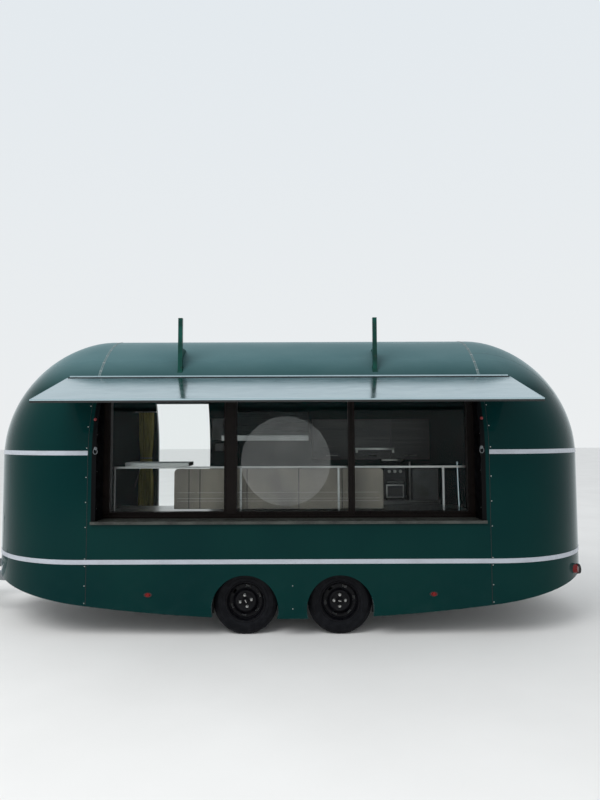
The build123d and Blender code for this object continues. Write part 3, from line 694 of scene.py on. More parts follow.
def hex_bolt(across):
    """A hexagon bolt head on its washer, about Z."""
    half = across / 2
    top = half * 1.1
    head = spun([(0, 0.0015), (half, 0.0015), (half, half * 0.85), (half * 0.8, top), (0, top)], 6)
    washer = spun([(0, 0.0018), (half * 1.45, 0.0018), (half * 1.6, 0.0008), (half * 1.6, -0.001)], 20)
    return joined([head, washer])


def facing(place, normal):
    """A matrix that puts a template's Z axis along a surface's normal."""
    return Matrix.Translation(place) @ normal.to_track_quat("Z", "Y").to_matrix().to_4x4()


def from_middle(x, y, z):
    """A point given from the middle of the body, on the floor."""
    return Vector((MIDDLE_X + x, MIDDLE_Y + y, z))


def evenly(first, last, steps):
    """Values at equal steps from the first to the last."""
    return [first + (last - first) * i / steps for i in range(steps + 1)]


def oval(middle, across, up, count):
    """Points round an oval, from its middle and its two half axes."""
    middle, across, up = Vector(middle), Vector(across), Vector(up)
    turns = [math.tau * i / count for i in range(count)]
    return [middle + across * math.cos(turn) + up * math.sin(turn) for turn in turns]


def side_point(x, side, z):
    """The skin of the near side (-1) or far side (1) at one place of its length and one level."""
    return skin_point(from_middle(x, side * OUTSIDE, z), (0, -side, 0))


def arc_point(x, angle):
    """The skin above the trace level at one place of its length, by the angle up from the far side."""
    out = Vector((0, math.cos(angle), math.sin(angle)))
    return skin_point(from_middle(x, 0, TRACE_Z) + OUTSIDE * out, -out)


def section(x):
    """Places and facings on the skin across the body, from the near skirt over the roof to the far one."""
    levels = evenly(SKIRT_Z, TRACE_Z, 8)[:-1]
    near = [side_point(x, -1, z) for z in levels]
    over = [arc_point(x, angle) for angle in evenly(math.pi, 0, 40)]
    far = [side_point(x, 1, z) for z in reversed(levels)]
    return near + over + far


class TRAILER_OT_finishes(Operator):
    """Makes every finish and gives each CAD node the finish of its slot"""

    bl_idname = "trailer.finishes"
    bl_label = "Finishes"

    def execute(self, context):
        for name, make in {**SLOT_FINISHES, **OTHER_FINISHES}.items():
            finishes[name] = make()
        for part in frame["record"]["subparts"]:
            node = frame["nodes"][part["node"]]
            for place in node.material_slots:
                place.material = finishes[part["material_slot"]]
        return {"FINISHED"}


def wheel_place(node, side):
    """A matrix that puts a template about Z at a wheel node's middle, outer face outwards."""
    low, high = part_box(node)
    turned = Matrix.Rotation(math.radians(90 if side == "near" else -90), 4, "X")
    return Matrix.Translation((low + high) / 2) @ turned


class TRAILER_OT_tyres(Operator):
    """Tyres with ringed sidewalls and a blocked tread"""

    bl_idname = "trailer.tyres"
    bl_label = "Tyres"

    steps = 108
    groove_middles = (-0.045, -0.016, 0.016, 0.045)
    groove_half = 0.004
    # radius at the bead and at the tread of a tyre of this size
    bead_radius = 0.168
    tread_radius = 0.2875
    slot_margin = 0.0012
    slot_share = 0.8

    def profile(self, radius, half, bore, depth):
        """The tyre's outline from the outer bead round the tread to the inner bead."""
        side = [
            (bore, half - 0.02), (bore + 0.004, half - 0.009), (bore + 0.01, half - 0.006),
            (bore + 0.013, half - 0.009), (bore + 0.022, half - 0.005), (bore + 0.036, half - 0.002),
            (bore + 0.0375, half - 0.0005), (bore + 0.0405, half - 0.0005), (bore + 0.042, half - 0.002),
            (bore + 0.06, half - 0.001), (bore + 0.075, half - 0.003), (bore + 0.077, half - 0.0016),
            (bore + 0.08, half - 0.002), (bore + 0.082, half - 0.005), (bore + 0.095, half - 0.009),
            (radius - 0.016, half - 0.014), (radius - 0.007, half - 0.021), (radius - 0.0015, half - 0.029),
        ]
        tread = []
        for middle in reversed(self.groove_middles):
            for edge, drop in ((1, 0), (0.7, depth), (-0.7, depth), (-1, 0)):
                tread.append((radius - drop, middle + edge * self.groove_half))
        return side + tread + [(r, -h) for r, h in reversed(side)]

    def execute(self, context):
        low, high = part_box("tyre_front_near")
        radius, half = (high.z - low.z) / 2, (high.y - low.y) / 2
        bore = radius * self.bead_radius / self.tread_radius
        depth = sizes().tread_depth
        template = spun(self.profile(radius, half, bore, depth), self.steps)

        def is_slot(middle, normal):
            """Every third step across the shoulders and the inner ribs is a cross cut."""
            step = int(math.atan2(middle.y, middle.x) % math.tau / (math.tau / self.steps))
            across = abs(middle.z)
            on_shoulder = 0.05 < across < half - 0.024 and step % 3 == 0
            on_rib = 0.021 < across < 0.04 and (step + (middle.z > 0)) % 3 == 1
            on_tread = middle.xy.length > radius - 0.006 and normal.xy.length > 0.7
            return on_tread and (on_shoulder or on_rib)

        inset_faces(template, is_slot, (self.slot_margin, -depth * self.slot_share))
        for end, side in WHEELS:
            tyre = copy_of(template, wheel_place(f"tyre_{end}_{side}", side))
            finish_piece(tyre, f"road_tyre_{end}_{side}", "tyre_rubber", f"wheel_{end}_{side}")
            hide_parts(f"tyre_{end}_{side}")
        discard(template)
        return {"FINISHED"}


class TRAILER_OT_wheels(Operator):
    """Pressed steel wheels with vents, drums, hub caps and bright nuts"""

    bl_idname = "trailer.wheels"
    bl_label = "Wheels"

    steps = 96
    vents = 6
    vent_steps = 5
    vent_radii = (0.121, 0.139)
    barrel_wall = 0.0035
    disc_wall = 0.004
    nuts = 4
    nut_seat = 0.043
    # clears the 20 mm stub that the wheel turns on
    bore = 0.0206
    # degrees that the front near wheel and its pin bar are turned, and the pin bars of the others
    front_near_turn = 12
    front_near_slant = -75
    slant = -14

    def pressed_wheel(self):
        """Barrel and dished disc, about Z, outer face up."""
        barrel = spun([
            (0.1775, 0.0775), (0.1785, 0.0815), (0.176, 0.0835), (0.171, 0.081), (0.1655, 0.075),
            (0.164, 0.063), (0.16, 0.05), (0.152, 0.042), (0.15, 0.012), (0.152, -0.02),
            (0.16, -0.042), (0.164, -0.06), (0.1655, -0.07), (0.171, -0.076), (0.176, -0.078),
        ], self.steps)
        barrel = thicken(barrel, self.barrel_wall)
        disc = spun([
            (0.1515, 0.03), (0.147, 0.023), (0.14, 0.0205), (0.1205, 0.0215), (0.11, 0.026),
            (0.099, 0.034), (0.0915, 0.0445), (0.086, 0.048), (0.08, 0.0485), (0.075, 0.046),
            (0.069, 0.0415), (0.062, 0.04), (0.036, 0.041), (0.032, 0.0415),
        ], self.steps)

        def is_vent(middle, normal):
            """The slots that let air to the hub."""
            step = int(math.atan2(middle.y, middle.x) % math.tau / math.tau * self.steps)
            inner, outer = self.vent_radii
            return inner < middle.xy.length < outer and step % (self.steps // self.vents) < self.vent_steps

        select_faces(disc, is_vent)
        bpy.ops.mesh.delete(type="FACE")
        bpy.ops.object.mode_set(mode="OBJECT")
        disc = thicken(disc, self.disc_wall)
        return round_edges(joined([barrel, disc]), 0.0008, 1, 50)

    def brake_drum(self):
        """The finned drum and the hub behind the disc, clear of the stub."""
        drum = spun([
            (self.bore, 0.0405), (0.034, 0.0405), (0.034, 0.0345), (0.086, 0.0345), (0.0905, 0.031),
            (0.092, 0.022), (0.092, -0.03), (0.0895, -0.031), (0.0895, -0.0345), (0.092, -0.0355),
            (0.092, -0.0395), (0.086, -0.0395), (0.086, 0.0285), (0.034, 0.0285), (0.034, -0.029),
            (self.bore, -0.029), (self.bore, 0.0405),
        ], 72)
        return round_edges(drum, 0.0006, 1, 60)

    def hub_cap(self):
        """The pressed cap over the bearing."""
        cap = spun([
            (0, 0.064), (0.012, 0.0635), (0.02, 0.061), (0.025, 0.056), (0.027, 0.048), (0.028, 0.038),
            (0.033, 0.037),
        ], 32)
        return thicken(cap, 0.0015)

    def nut(self):
        """A wheel nut: six sides, a coned seat and a domed end."""
        hexagon = spun([(0, 0.0), (0.0115, 0.0), (0.0115, 0.012), (0.0098, 0.0145), (0, 0.0145)], 6)
        dome = spun([(0.009, 0.014), (0.0085, 0.0185), (0.0055, 0.0215), (0, 0.0225)], 20)
        seat = spun([(0.0, -0.002), (0.0135, -0.002), (0.0135, 0.0012), (0.0115, 0.0022)], 24)
        return joined([hexagon, dome, seat])

    def execute(self, context):
        black = {
            "steel_wheel": self.pressed_wheel(),
            "hub_cap": self.hub_cap(),
            "brake_drum": self.brake_drum(),
        }
        nut = self.nut()
        pin_bar = bar((-0.014, -0.0028, 0.0625), (0.014, 0.0028, 0.0665), 0.001)
        for end, side in WHEELS:
            is_front_near = (end, side) == ("front", "near")
            turn = math.radians(self.front_near_turn if is_front_near else 0)
            slant = math.radians(self.front_near_slant if is_front_near else self.slant)
            place = wheel_place(f"rim_{end}_{side}", side) @ Matrix.Rotation(turn, 4, "Z")
            body = f"wheel_{end}_{side}"
            for name, template in black.items():
                piece = finish_piece(copy_of(template, place), f"{name}_{end}_{side}", "black_steel", body)
                if name == "steel_wheel":
                    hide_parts(f"rim_{end}_{side}")
            bright = [copy_of(pin_bar, place @ Matrix.Rotation(slant, 4, "Z"))]
            seat = Matrix.Translation((sizes().bolt_circle, 0, self.nut_seat))
            for i in range(self.nuts):
                turned = Matrix.Rotation(math.tau * i / self.nuts, 4, "Z")
                bright.append(copy_of(nut, place @ turned @ seat))
            finish_piece(joined(bright), f"wheel_nuts_{end}_{side}", "zinc", body)
        discard(nut, pin_bar, *black.values())
        return {"FINISHED"}


class TRAILER_OT_seams(Operator):
    """Sealant in the body's seams, the roof battens over them and the rivets beside them"""

    bl_idname = "trailer.seams"
    bl_label = "Seams and rivets"

    seam_inset = 0.001
    rivet_levels = (0.3, 0.45, 0.62, 0.685, 0.96, 1.18, 1.4, 1.66, 1.85, 2.04)
    rivet_offset = 0.012
    batten_half = 0.012
    batten_low = 2.3
    batten_lift = 0.0008
    batten_thickness = 0.0016
    batten_rivet_offset = 0.007
    batten_rivet_lift = 0.0015
    # share of the half turn over the body at which a batten's first and last rivet stand
    batten_rivet_arc = (0.22, 0.78)
    dome_seam_y = 0.575
    dome_seam_start = 0.01
    dome_seam_reach = 0.8
    chassis_bolt_x = 0.034
    chassis_bolt_levels = (0.246, 0.445)

    def seam_beads(self, seams):
        """Round both ends of the straight body, and along the rear dome."""
        radius = sizes().seam_radius
        beads = [strand([place for place, _ in seam], radius, corners=1) for seam in seams]
        finish_piece(joined(beads), "seam_beads", "seal_rubber")
        beads = []
        for side in (-1, 1):
            points = []
            for turn in evenly(0, 90, 23):
                reach = self.dome_seam_start + self.dome_seam_reach * math.sin(math.radians(turn))
                above = from_middle(SEAM_REACH + reach, side * self.dome_seam_y, OUTSIDE)
                points.append(skin_point(above, (0, 0, -1))[0])
            beads.append(strand(points, radius, corners=1))
        finish_piece(joined(beads), "dome_seams", "roof_sealant")

    def roof_battens(self, seams):
        """Thin strips riveted over the two roof seams."""
        strips = []
        for seam in seams:
            above = [(place, normal) for place, normal in seam if place.z > self.batten_low]
            strip = trace([place + normal * self.batten_lift for place, normal in above])
            bpy.ops.transform.translate(value=(-self.batten_half, 0, 0))
            bpy.ops.mesh.extrude_region_move(TRANSFORM_OT_translate={"value": (2 * self.batten_half, 0, 0)})
            bpy.ops.mesh.select_all(action="SELECT")
            bpy.ops.mesh.normals_make_consistent(inside=False)
            bpy.ops.object.mode_set(mode="OBJECT")
            strips.append(thicken(strip, self.batten_thickness, 0.0))
        finish_piece(joined(strips), "roof_battens", "roof_sealant")

    def rivet(self):
        """One domed rivet head, on its seat."""
        radius = sizes().rivet_radius
        shape = ((0, 0.55), (0.45, 0.48), (0.8, 0.28), (1, 0))
        return spun([(radius * out, radius * up) for out, up in shape] + [(radius * 0.9, -0.001)], 10)

    def execute(self, context):
        seam_xs = [end * (SEAM_REACH - self.seam_inset) for end in (-1, 1)]
        seams = [section(x) for x in seam_xs]
        self.seam_beads(seams)
        self.roof_battens(seams)
        places = []
        for end, seam_x in zip((-1, 1), seam_xs):
            for z in self.rivet_levels:
                for side in (-1, 1):
                    places.append(facing(*side_point(end * (SEAM_REACH + self.rivet_offset), side, z)))
            for share in evenly(*self.batten_rivet_arc, 16):
                for shift in (-self.batten_rivet_offset, self.batten_rivet_offset):
                    place, normal = arc_point(seam_x + shift, math.pi * share)
                    places.append(facing(place + normal * self.batten_rivet_lift, normal))
        for z in self.chassis_bolt_levels:
            for side in (-1, 1):
                places.append(facing(*side_point(self.chassis_bolt_x, side, z)))
        finish_piece(spread_copies(self.rivet(), places), "body_rivets", "zinc")
        return {"FINISHED"}


def pane_boxes():
    """The box of each pane of the window, from the drawbar end."""
    low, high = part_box("window_glass")
    edges = sorted({round(v.co.x, 4) for v in frame["nodes"]["window_glass"].data.vertices})
    spans = zip(edges[::2], edges[1::2])
    return [(Vector((a, low.y, low.z)), Vector((b, high.y, high.z))) for a, b in spans]


def flat_frame(low, high, y, width, thick):
    """A mitred rectangular frame that stands up along X, from y towards the street by its thickness."""
    middle = Vector(((low.x + high.x) / 2, y, (low.z + high.z) / 2))
    clear_selection()
    bpy.ops.mesh.primitive_plane_add(size=1, location=middle, rotation=(math.radians(90), 0, 0))
    piece = bpy.context.object
    piece.scale = (high.x - low.x, high.z - low.z, 1)
    settle(piece)
    select_faces(piece, lambda middle, normal: True)
    bpy.ops.mesh.inset(thickness=width)
    bpy.ops.mesh.delete(type="FACE")
    bpy.ops.object.mode_set(mode="OBJECT")
    return thicken(piece, thick, 1.0)


class TRAILER_OT_window(Operator):
    """Sashes, their two rails, glazing seals and the plain frosted disc"""

    bl_idname = "trailer.window"
    bl_label = "Window"

    overlap = 0.97
    sash_thickness = 0.012
    seal_radius = 0.0035
    seal_depth = 0.003
    # depth in front of the frame and height above its foot of the two rails that the panes run on
    rails = ((0.004, 0.012), (0.0025, 0.034))
    rail_height = 0.009
    disc_x = -0.03
    disc_z = 1.53

    def frosted_disc(self, pane_y):
        """The disc of film on the middle pane, with a raised ring and rim."""
        radius = sizes().disc_radius
        disc = spun([
            (0, 0.0006), (0.27, 0.0006), (0.275, 0.0009), (0.29, 0.0009), (0.295, 0.0006),
            (radius - 0.02, 0.0006), (radius - 0.015, 0.0009), (radius, 0.0009), (radius, 0),
        ], 96)
        place = Matrix.Translation(from_middle(self.disc_x, pane_y - MIDDLE_Y, self.disc_z)) @ TO_STREET
        finish_piece(settle(disc, place), "frosted_disc", "frosted_film")

    def execute(self, context):
        frame_low, frame_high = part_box("window_frame")
        front = frame_low.y
        width = sizes().sash_width
        grow = Vector((width, 0, width)) * self.overlap
        sashes, seals = [], []
        for low, high in pane_boxes():
            sash = flat_frame(low - grow, high + grow, front, width, self.sash_thickness)
            sashes.append(round_edges(sash, 0.0025))
            corners = [(low.x, high.z), (high.x, high.z), (high.x, low.z), (low.x, low.z)]
            seal = [(x, low.y - self.seal_depth, z) for x, z in corners]
            seals.append(strand(seal, self.seal_radius, closed=True, corners=1))
        for depth, rise in self.rails:
            rail_low = (frame_low.x + 0.004, front - depth, frame_low.z + rise)
            rail_high = (frame_high.x - 0.004, front + 0.001, frame_low.z + rise + self.rail_height)
            sashes.append(bar(rail_low, rail_high, 0.0012))
        finish_piece(joined(sashes), "window_sashes", "brown_profile")
        finish_piece(joined(seals), "glazing_seals", "seal_rubber")
        self.frosted_disc(pane_boxes()[1][0].y)
        return {"FINISHED"}


class TRAILER_OT_jamb_fittings(Operator):
    """The red knob and the ring below it on each jamb of the reveal, and the jambs' screws"""

    bl_idname = "trailer.jamb_fittings"
    bl_label = "Jamb fittings"

    knob_z = 1.915
    ring_z = 1.63
    ring_half_width = 0.018
    ring_half_height = 0.024
    ring_wire = 0.0028
    jamb_x = 1.722
    screw_levels = (1.12, 1.45, 1.78, 2.05)

    def execute(self, context):
        low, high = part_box("hatch_reveal")
        knobs, metal = [], []
        for x in (MIDDLE_X - self.jamb_x, MIDDLE_X + self.jamb_x):
            ball = spun([
                (0, 0.03), (0.006, 0.0292), (0.0115, 0.0252), (0.0135, 0.018), (0.0125, 0.011),
                (0.007, 0.006), (0.005, 0),
            ], 20)
            knobs.append(settle(ball, Matrix.Translation((x, low.y, self.knob_z)) @ TO_STREET))
            middle = (x, low.y - 0.006, self.ring_z)
            ring = oval(middle, (self.ring_half_width, 0, 0), (0, 0, self.ring_half_height), 20)
            metal.append(strand(ring, self.ring_wire, closed=True))
            eye = spun([(0, 0.012), (0.006, 0.011), (0.008, 0.004), (0.014, 0.002), (0.015, 0)], 16)
            metal.append(settle(eye, Matrix.Translation((x, low.y, self.ring_z + 0.026)) @ TO_STREET))
        finish_piece(joined(knobs), "jamb_knobs", "knob_red")
        finish_piece(joined(metal), "jamb_rings", "galvanised")
        screws = []
        for z in self.screw_levels:
            for x, way in ((low.x + 0.2, -1), (high.x - 0.2, 1)):
                found = meets((x, low.y + 0.03, z), (way, 0, 0), "hatch_reveal")
                if found:
                    screws.append(facing(*found))
        finish_piece(spread_copies(spun(SCREW_HEAD, 10), screws), "jamb_screws", "zinc")
        return {"FINISHED"}


class TRAILER_OT_canopy_trim(Operator):
    """The canopy's bright front lip and end beads, black strips of painted shade under its lip and along
    its rail, and the flashing over its rail
    """

    bl_idname = "trailer.canopy_trim"
    bl_label = "Canopy trim"

    flashing_screws = 21
    edge_radius = 0.004
    lip_radius = 0.0065

    def flashing(self, left, right, root_z):
        """The bright sheet that sheds water from the roof over the canopy's rail."""
        y = skin_point((MIDDLE_X, -OUTSIDE, root_z + 0.02), (0, 1, 0))[0].y
        rail_low, rail_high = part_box("canopy_rail")
        strips = [
            bar((left, y - 0.016, rail_high.z + 0.003), (right, y + 0.004, rail_high.z + 0.022), 0.004),
            bar((left, rail_low.y + 0.012, rail_high.z), (right, y, rail_high.z + 0.005), 0.001),
        ]
        places = []
        for x in evenly(left + 0.06, right - 0.06, self.flashing_screws - 1):
            places.append(Matrix.Translation((x, y - 0.016, rail_high.z + 0.0125)) @ TO_STREET)
        strips.append(spread_copies(spun(SCREW_HEAD, 10), places))
        finish_piece(joined(strips), "canopy_flashing", "bright_steel")

    def execute(self, context):
        low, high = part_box("canopy_sheet")
        corners = [vertex.co for vertex in frame["nodes"]["canopy_sheet"].data.vertices]
        beads = []
        for end in (-1, 1):
            root = max(corners, key=lambda co: (round(co.z, 3), end * co.x))
            tip = max(corners, key=lambda co: (-round(co.y, 2), end * co.x))
            edge = [root - Vector((end * 0.002, 0, 0.004)), tip - Vector((end * 0.002, -0.006, 0))]
            beads.append(strand(edge, self.edge_radius))
        beads.append(strand([(x, low.y + 0.007, low.z + 0.02) for x in (low.x, high.x)], self.lip_radius))
        finish_piece(joined(beads), "canopy_lip", "bright_steel")
        # painted shade: black rubber strips under the lip and along the root, where the canopy's shadow
        # falls
        seals = [bar((low.x, low.y + 0.001, low.z - 0.004), (high.x, low.y + 0.01, low.z + 0.013), 0.002)]
        root_xs = [co.x for co in corners if co.z > high.z - 0.01]
        left, right = min(root_xs) + 0.01, max(root_xs) - 0.01
        seals.append(strand([(x, high.y - 0.001, high.z + 0.003) for x in (left, right)], self.edge_radius))
        finish_piece(joined(seals), "canopy_shade_strips", "seal_rubber")
        self.flashing(left, right, high.z)
        return {"FINISHED"}


class TRAILER_OT_guard_boards(Operator):
    """The beige boards behind the guard rail, and the tray that stands on it with its brackets"""

    bl_idname = "trailer.guard_boards"
    bl_label = "Guard boards"

    joints = (-1.09, -0.95, -0.846, -0.4, 0.09, 0.5, 0.89)
    corner_radius = 0.04
    wire_rises = (0.09, 0.115, 0.17)
    wire_ends = (-1.06, 0.86)
    wire_radius = 0.0011
    tube_radius = 0.009

    def board(self, low_x, high_x, low, high, corners):
        """One board between two joints; its upper corners at the given places are rounded."""
        board = block(
            (low_x + 0.0004, high.y + 0.001, low.z + 0.016),
            (high_x - 0.0004, high.y + 0.0045, high.z - 0.022),
        )
        pick(board)
        bpy.ops.object.mode_set(mode="EDIT")
        bpy.ops.mesh.select_mode(type="EDGE")
        bpy.ops.mesh.select_all(action="DESELECT")
        mesh = bmesh.from_edit_mesh(board.data)
        for edge in mesh.edges:
            first, second = (vertex.co for vertex in edge.verts)
            middle = (first + second) / 2
            is_across = abs((first - second).normalized().y) > 0.9
            is_corner = any(abs(middle.x - x) < 0.004 for x in corners)
            edge.select = is_across and is_corner and middle.z > (low.z + high.z) / 2
        bmesh.update_edit_mesh(board.data)
        if corners:
            bpy.ops.mesh.bevel(offset=self.corner_radius, segments=8, affect="EDGES")
        bpy.ops.object.mode_set(mode="OBJECT")
        return round_edges(board, 0.0008, 1, 60)

    def tray(self, low, high):
        """A shallow steel tray with a rolled rim, on two angle brackets behind the rail."""
        left, right, near, far = MIDDLE_X - 1.55, MIDDLE_X - 0.95, low.y - 0.002, high.y + 0.24
        top = high.z + 0.034
        tray = block((left, near, high.z + 0.001), (right, far, top))
        inset_faces(tray, lambda middle, normal: normal.z > 0.9, (0.012, 0), (0.006, -0.028))
        pieces = [round_edges(tray, 0.003)]
        rim = [(left, near, top), (right, near, top), (right, far, top), (left, far, top)]
        pieces.append(strand(rim, 0.0035, closed=True))
        for x in (left + 0.09, right - 0.09):
            arm_high = (x + 0.009, far - 0.02, high.z + 0.001)
            arm = bar((x - 0.009, high.y - 0.004, high.z - 0.014), arm_high, 0.002)
            brace = strand([(x, far - 0.05, high.z - 0.008), (x, high.y + 0.002, high.z - 0.19)], 0.004)
            pieces += [arm, brace]
        finish_piece(joined(pieces), "rail_tray", "galley_steel")

    def execute(self, context):
        low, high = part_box("bench_rail")
        joints = [MIDDLE_X + x for x in self.joints]
        ends = (joints[0], joints[-1])
        boards = []
        for a, b in zip(joints, joints[1:]):
            boards.append(self.board(a, b, low, high, [x for x in (a, b) if x in ends]))
        finish_piece(joined(boards), "guard_boards", "guard_board")
        covers = []
        for x in joints[1:-1]:
            cover_low = (x - 0.004, high.y + 0.0002, low.z + 0.016)
            covers.append(bar(cover_low, (x + 0.004, high.y + 0.0052, high.z - 0.023), 0.0004, 1))
        finish_piece(joined(covers), "guard_joints", "seal_rubber")
        wires = []
        for rise in self.wire_rises:
            wire = [(MIDDLE_X + x, high.y + 0.0005, low.z + rise) for x in self.wire_ends]
            wires.append(strand(wire, self.wire_radius, corners=1))
        finish_piece(joined(wires), "guard_wires", "zinc")
        # one more slim tube near the rail's rear end, leaning a little, up past the rail
        line = [from_middle(1.603, -0.76, 1.06), from_middle(1.59, -0.76, 1.514)]
        tube = strand(line, self.tube_radius, corners=4)
        finish_piece(tube, "guard_end_tube", "bright_steel")
        self.tray(low, high)
        return {"FINISHED"}


class TRAILER_OT_galley(Operator):
    """What shows behind the glass: switch box, handles, hood filters, oven, cabinet, bar and curtain"""

    bl_idname = "trailer.galley"
    bl_label = "Galley"

    # node, number of doors, level of the handles, side of the doors: -1 faces the street
    handle_rows = (
        ("bench_back", 4, 0.93, -1),
        ("bench_front", 5, 0.95, 1),
        ("wall_cabinets", 3, 1.53, -1),
    )
    handle_half = 0.07
    handle_depth = 0.024
    handle_radius = 0.005
    post_spread = 0.055
    post_radius = 0.0038
    filter_slats = 26
    filter_half = 0.2
    # low level, high level, half width and depth of the fuse box and of the socket below it
    switch_boxes = ((1.72, 1.98, 0.075, 0.07), (1.58, 1.67, 0.05, 0.04))
    switch_x = -0.9
    # depth of the curtain's pleats, and radians of their wave over its width
    pleat_depth = 0.016
    pleat_wave = 34
    # level of its tie, how far above and below that it is drawn in, and by what share of its width
    tie_z = 1.5
    tie_reach = 0.16
    tie_pinch = 0.25

    def handles(self):
        """A bar handle on each cupboard door."""
        metal = []
        for node, doors, z, way in self.handle_rows:
            low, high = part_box(node)
            wide = (high.x - low.x) / doors
            for i in range(doors):
                x = low.x + wide * (i + 0.5)
                found = meets((x, low.y - 0.3 if way < 0 else high.y + 0.3, z), (0, -way, 0), node)
                if found is None:
                    continue
                door_y = found[0].y
                y = door_y + way * self.handle_depth
                grip = [(x - self.handle_half, y, z), (x + self.handle_half, y, z)]
                metal.append(strand(grip, self.handle_radius))
                for post_x in (x - self.post_spread, x + self.post_spread):
                    metal.append(strand([(post_x, door_y, z), (post_x, y, z)], self.post_radius, corners=1))
        finish_piece(joined(metal), "cupboard_handles", "zinc")

    def filters(self):
        """Baffle filters under the hood: slats in a frame."""
        low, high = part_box("extractor_hood")
        middle_y = (low.y + high.y) / 2
        near, far = middle_y - self.filter_half, middle_y + self.filter_half
        slats = []
        for x in evenly(low.x + 0.06, high.x - 0.06, self.filter_slats - 1):
            slat_low = (x - 0.011, near, low.z + 0.012)
            slats.append(bar(slat_low, (x + 0.011, far, low.z + 0.016), 0.0015, 1))
        for y in (near - 0.005, far + 0.005):
            rail_low = (low.x + 0.02, y - 0.01, low.z + 0.008)
            slats.append(bar(rail_low, (high.x - 0.02, y + 0.01, low.z + 0.02), 0.002))
        finish_piece(joined(slats), "hood_filters", "galley_steel")

    def oven(self):
        """A small upright oven on the back bench: case, dark door window, handle and knobs."""
        bench_low, bench_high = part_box("bench_back")
        front, top = bench_low.y + 0.03, bench_high.z
        left, right = MIDDLE_X + 1.07, MIDDLE_X + 1.32
        case = block((left, front, top + 0.012), (right, front + 0.36, top + 0.385))
        inset_faces(case, faces_street, (0.012, -0.003))
        pieces = [round_edges(case, 0.006)]
        for x in (left + 0.03, right - 0.03):
            for y in (front + 0.03, front + 0.33):
                foot = spun([(0, 0.0), (0.014, 0.0), (0.012, 0.013), (0, 0.013)], 14)
                pieces.append(settle(foot, Matrix.Translation((x, y, top))))
        finish_piece(joined(pieces), "oven_case", "cupboard_grey")
        pane_low, pane_high = Vector((left + 0.024, 0, top + 0.03)), Vector((right - 0.024, 0, top + 0.18))
        handle_y, handle_z = front - 0.02, top + 0.21
        trim = [
            round_edges(flat_frame(pane_low, pane_high, front, 0.012, 0.006), 0.0015),
            strand([(left + 0.03, handle_y, handle_z), (right - 0.03, handle_y, handle_z)], 0.006),
        ]
        for x in (left + 0.045, right - 0.045):
            trim.append(strand([(x, handle_y, handle_z), (x, front + 0.004, handle_z)], 0.0045, corners=1))
        for x in (left + 0.06, (left + right) / 2, right - 0.06):
            knob = spun([(0, 0.02), (0.011, 0.019), (0.013, 0.014), (0.014, 0.0), (0.019, -0.002)], 20)
            trim.append(settle(knob, Matrix.Translation((x, front, top + 0.33)) @ TO_STREET))
        finish_piece(joined(trim), "oven_trim", "zinc")

    def grey_cabinet(self):
        """A low grey cabinet on the back bench, with a panelled front and a bright pipe beside it."""
        bench_low, bench_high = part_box("bench_back")
        front, top = bench_low.y + 0.02, bench_high.z
        left, right = MIDDLE_X + 1.4, bench_high.x - 0.01
        case = block((left, front, top + 0.001), (right, front + 0.42, top + 0.36))
        inset_faces(case, faces_street, (0.02, -0.006), (0.012, 0.004))
        finish_piece(round_edges(case, 0.004), "grey_cabinet", "floor_board")
        pipe = strand([(left - 0.03, front + 0.03, top), (left - 0.03, front + 0.03, top + 0.44)], 0.01)
        finish_piece(pipe, "cabinet_pipe", "zinc")

    def lamp_bar(self):
        """The hand bar across the wall cupboards and the lamp strip below them."""
        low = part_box("wall_cabinets")[0]
        left, right, y = MIDDLE_X + 0.757, MIDDLE_X + 1.222, low.y - 0.035
        bars = [bar((left, y - 0.01, low.z + 0.115), (right, y + 0.01, low.z + 0.14), 0.004)]
        for x in (left + 0.02, right - 0.012):
            arm_high = (x + 0.012, low.y + 0.002, low.z + 0.139)
            bars.append(bar((x - 0.012, y - 0.009, low.z + 0.08), arm_high, 0.003))
        strip_low = (MIDDLE_X + 1.08, low.y + 0.02, low.z - 0.018)
        bars.append(bar(strip_low, (MIDDLE_X + 1.34, low.y + 0.06, low.z), 0.005))
        finish_piece(joined(bars), "cupboard_bar", "zinc")

    def curtain(self):
        """Pleated cloth on a rod, tied back beside the doorway."""
        left, right, top, foot, y = -1.87, -1.69, 2.06, 0.6, 0.9
        points = []
        for share in evenly(0, 1, 40):
            wave = self.pleat_depth * math.sin(share * self.pleat_wave)
            points.append(from_middle(left + (right - left) * share, y + wave, foot))
        cloth = trace(points)
        bpy.ops.mesh.extrude_region_move(TRANSFORM_OT_translate={"value": (0, 0, top - foot)})
        bpy.ops.mesh.select_all(action="SELECT")
        bpy.ops.mesh.subdivide(number_cuts=10)
        bpy.ops.object.mode_set(mode="OBJECT")
        middle_x = MIDDLE_X + (left + right) / 2
        for vertex in cloth.data.vertices:
            # drawn in at the tie, and fuller above and below it
            pinch = self.tie_pinch * math.exp(-((vertex.co.z - self.tie_z) / self.tie_reach) ** 2)
            vertex.co.x = middle_x + (vertex.co.x - middle_x) * (1 - pinch)
        finish_piece(thicken(cloth, 0.0016, 0.0), "door_curtain", "curtain_cloth", smooth=80)
        rod_z = top + 0.004
        tie = oval(from_middle((left + right) / 2, y, self.tie_z), (0.072, 0, 0), (0, 0.024, 0), 16)
        pieces = [
            strand([from_middle(left - 0.05, y, rod_z), from_middle(right + 0.03, y, rod_z)], 0.007),
            strand(tie, 0.006, closed=True),
        ]
        for x in (left - 0.04, right + 0.02):
            start = from_middle(x, y, rod_z)
            pieces.append(strand([start, skin_point(start, (0, 1, 0))[0]], 0.005, corners=1))
        finish_piece(joined(pieces), "curtain_rod", "zinc")

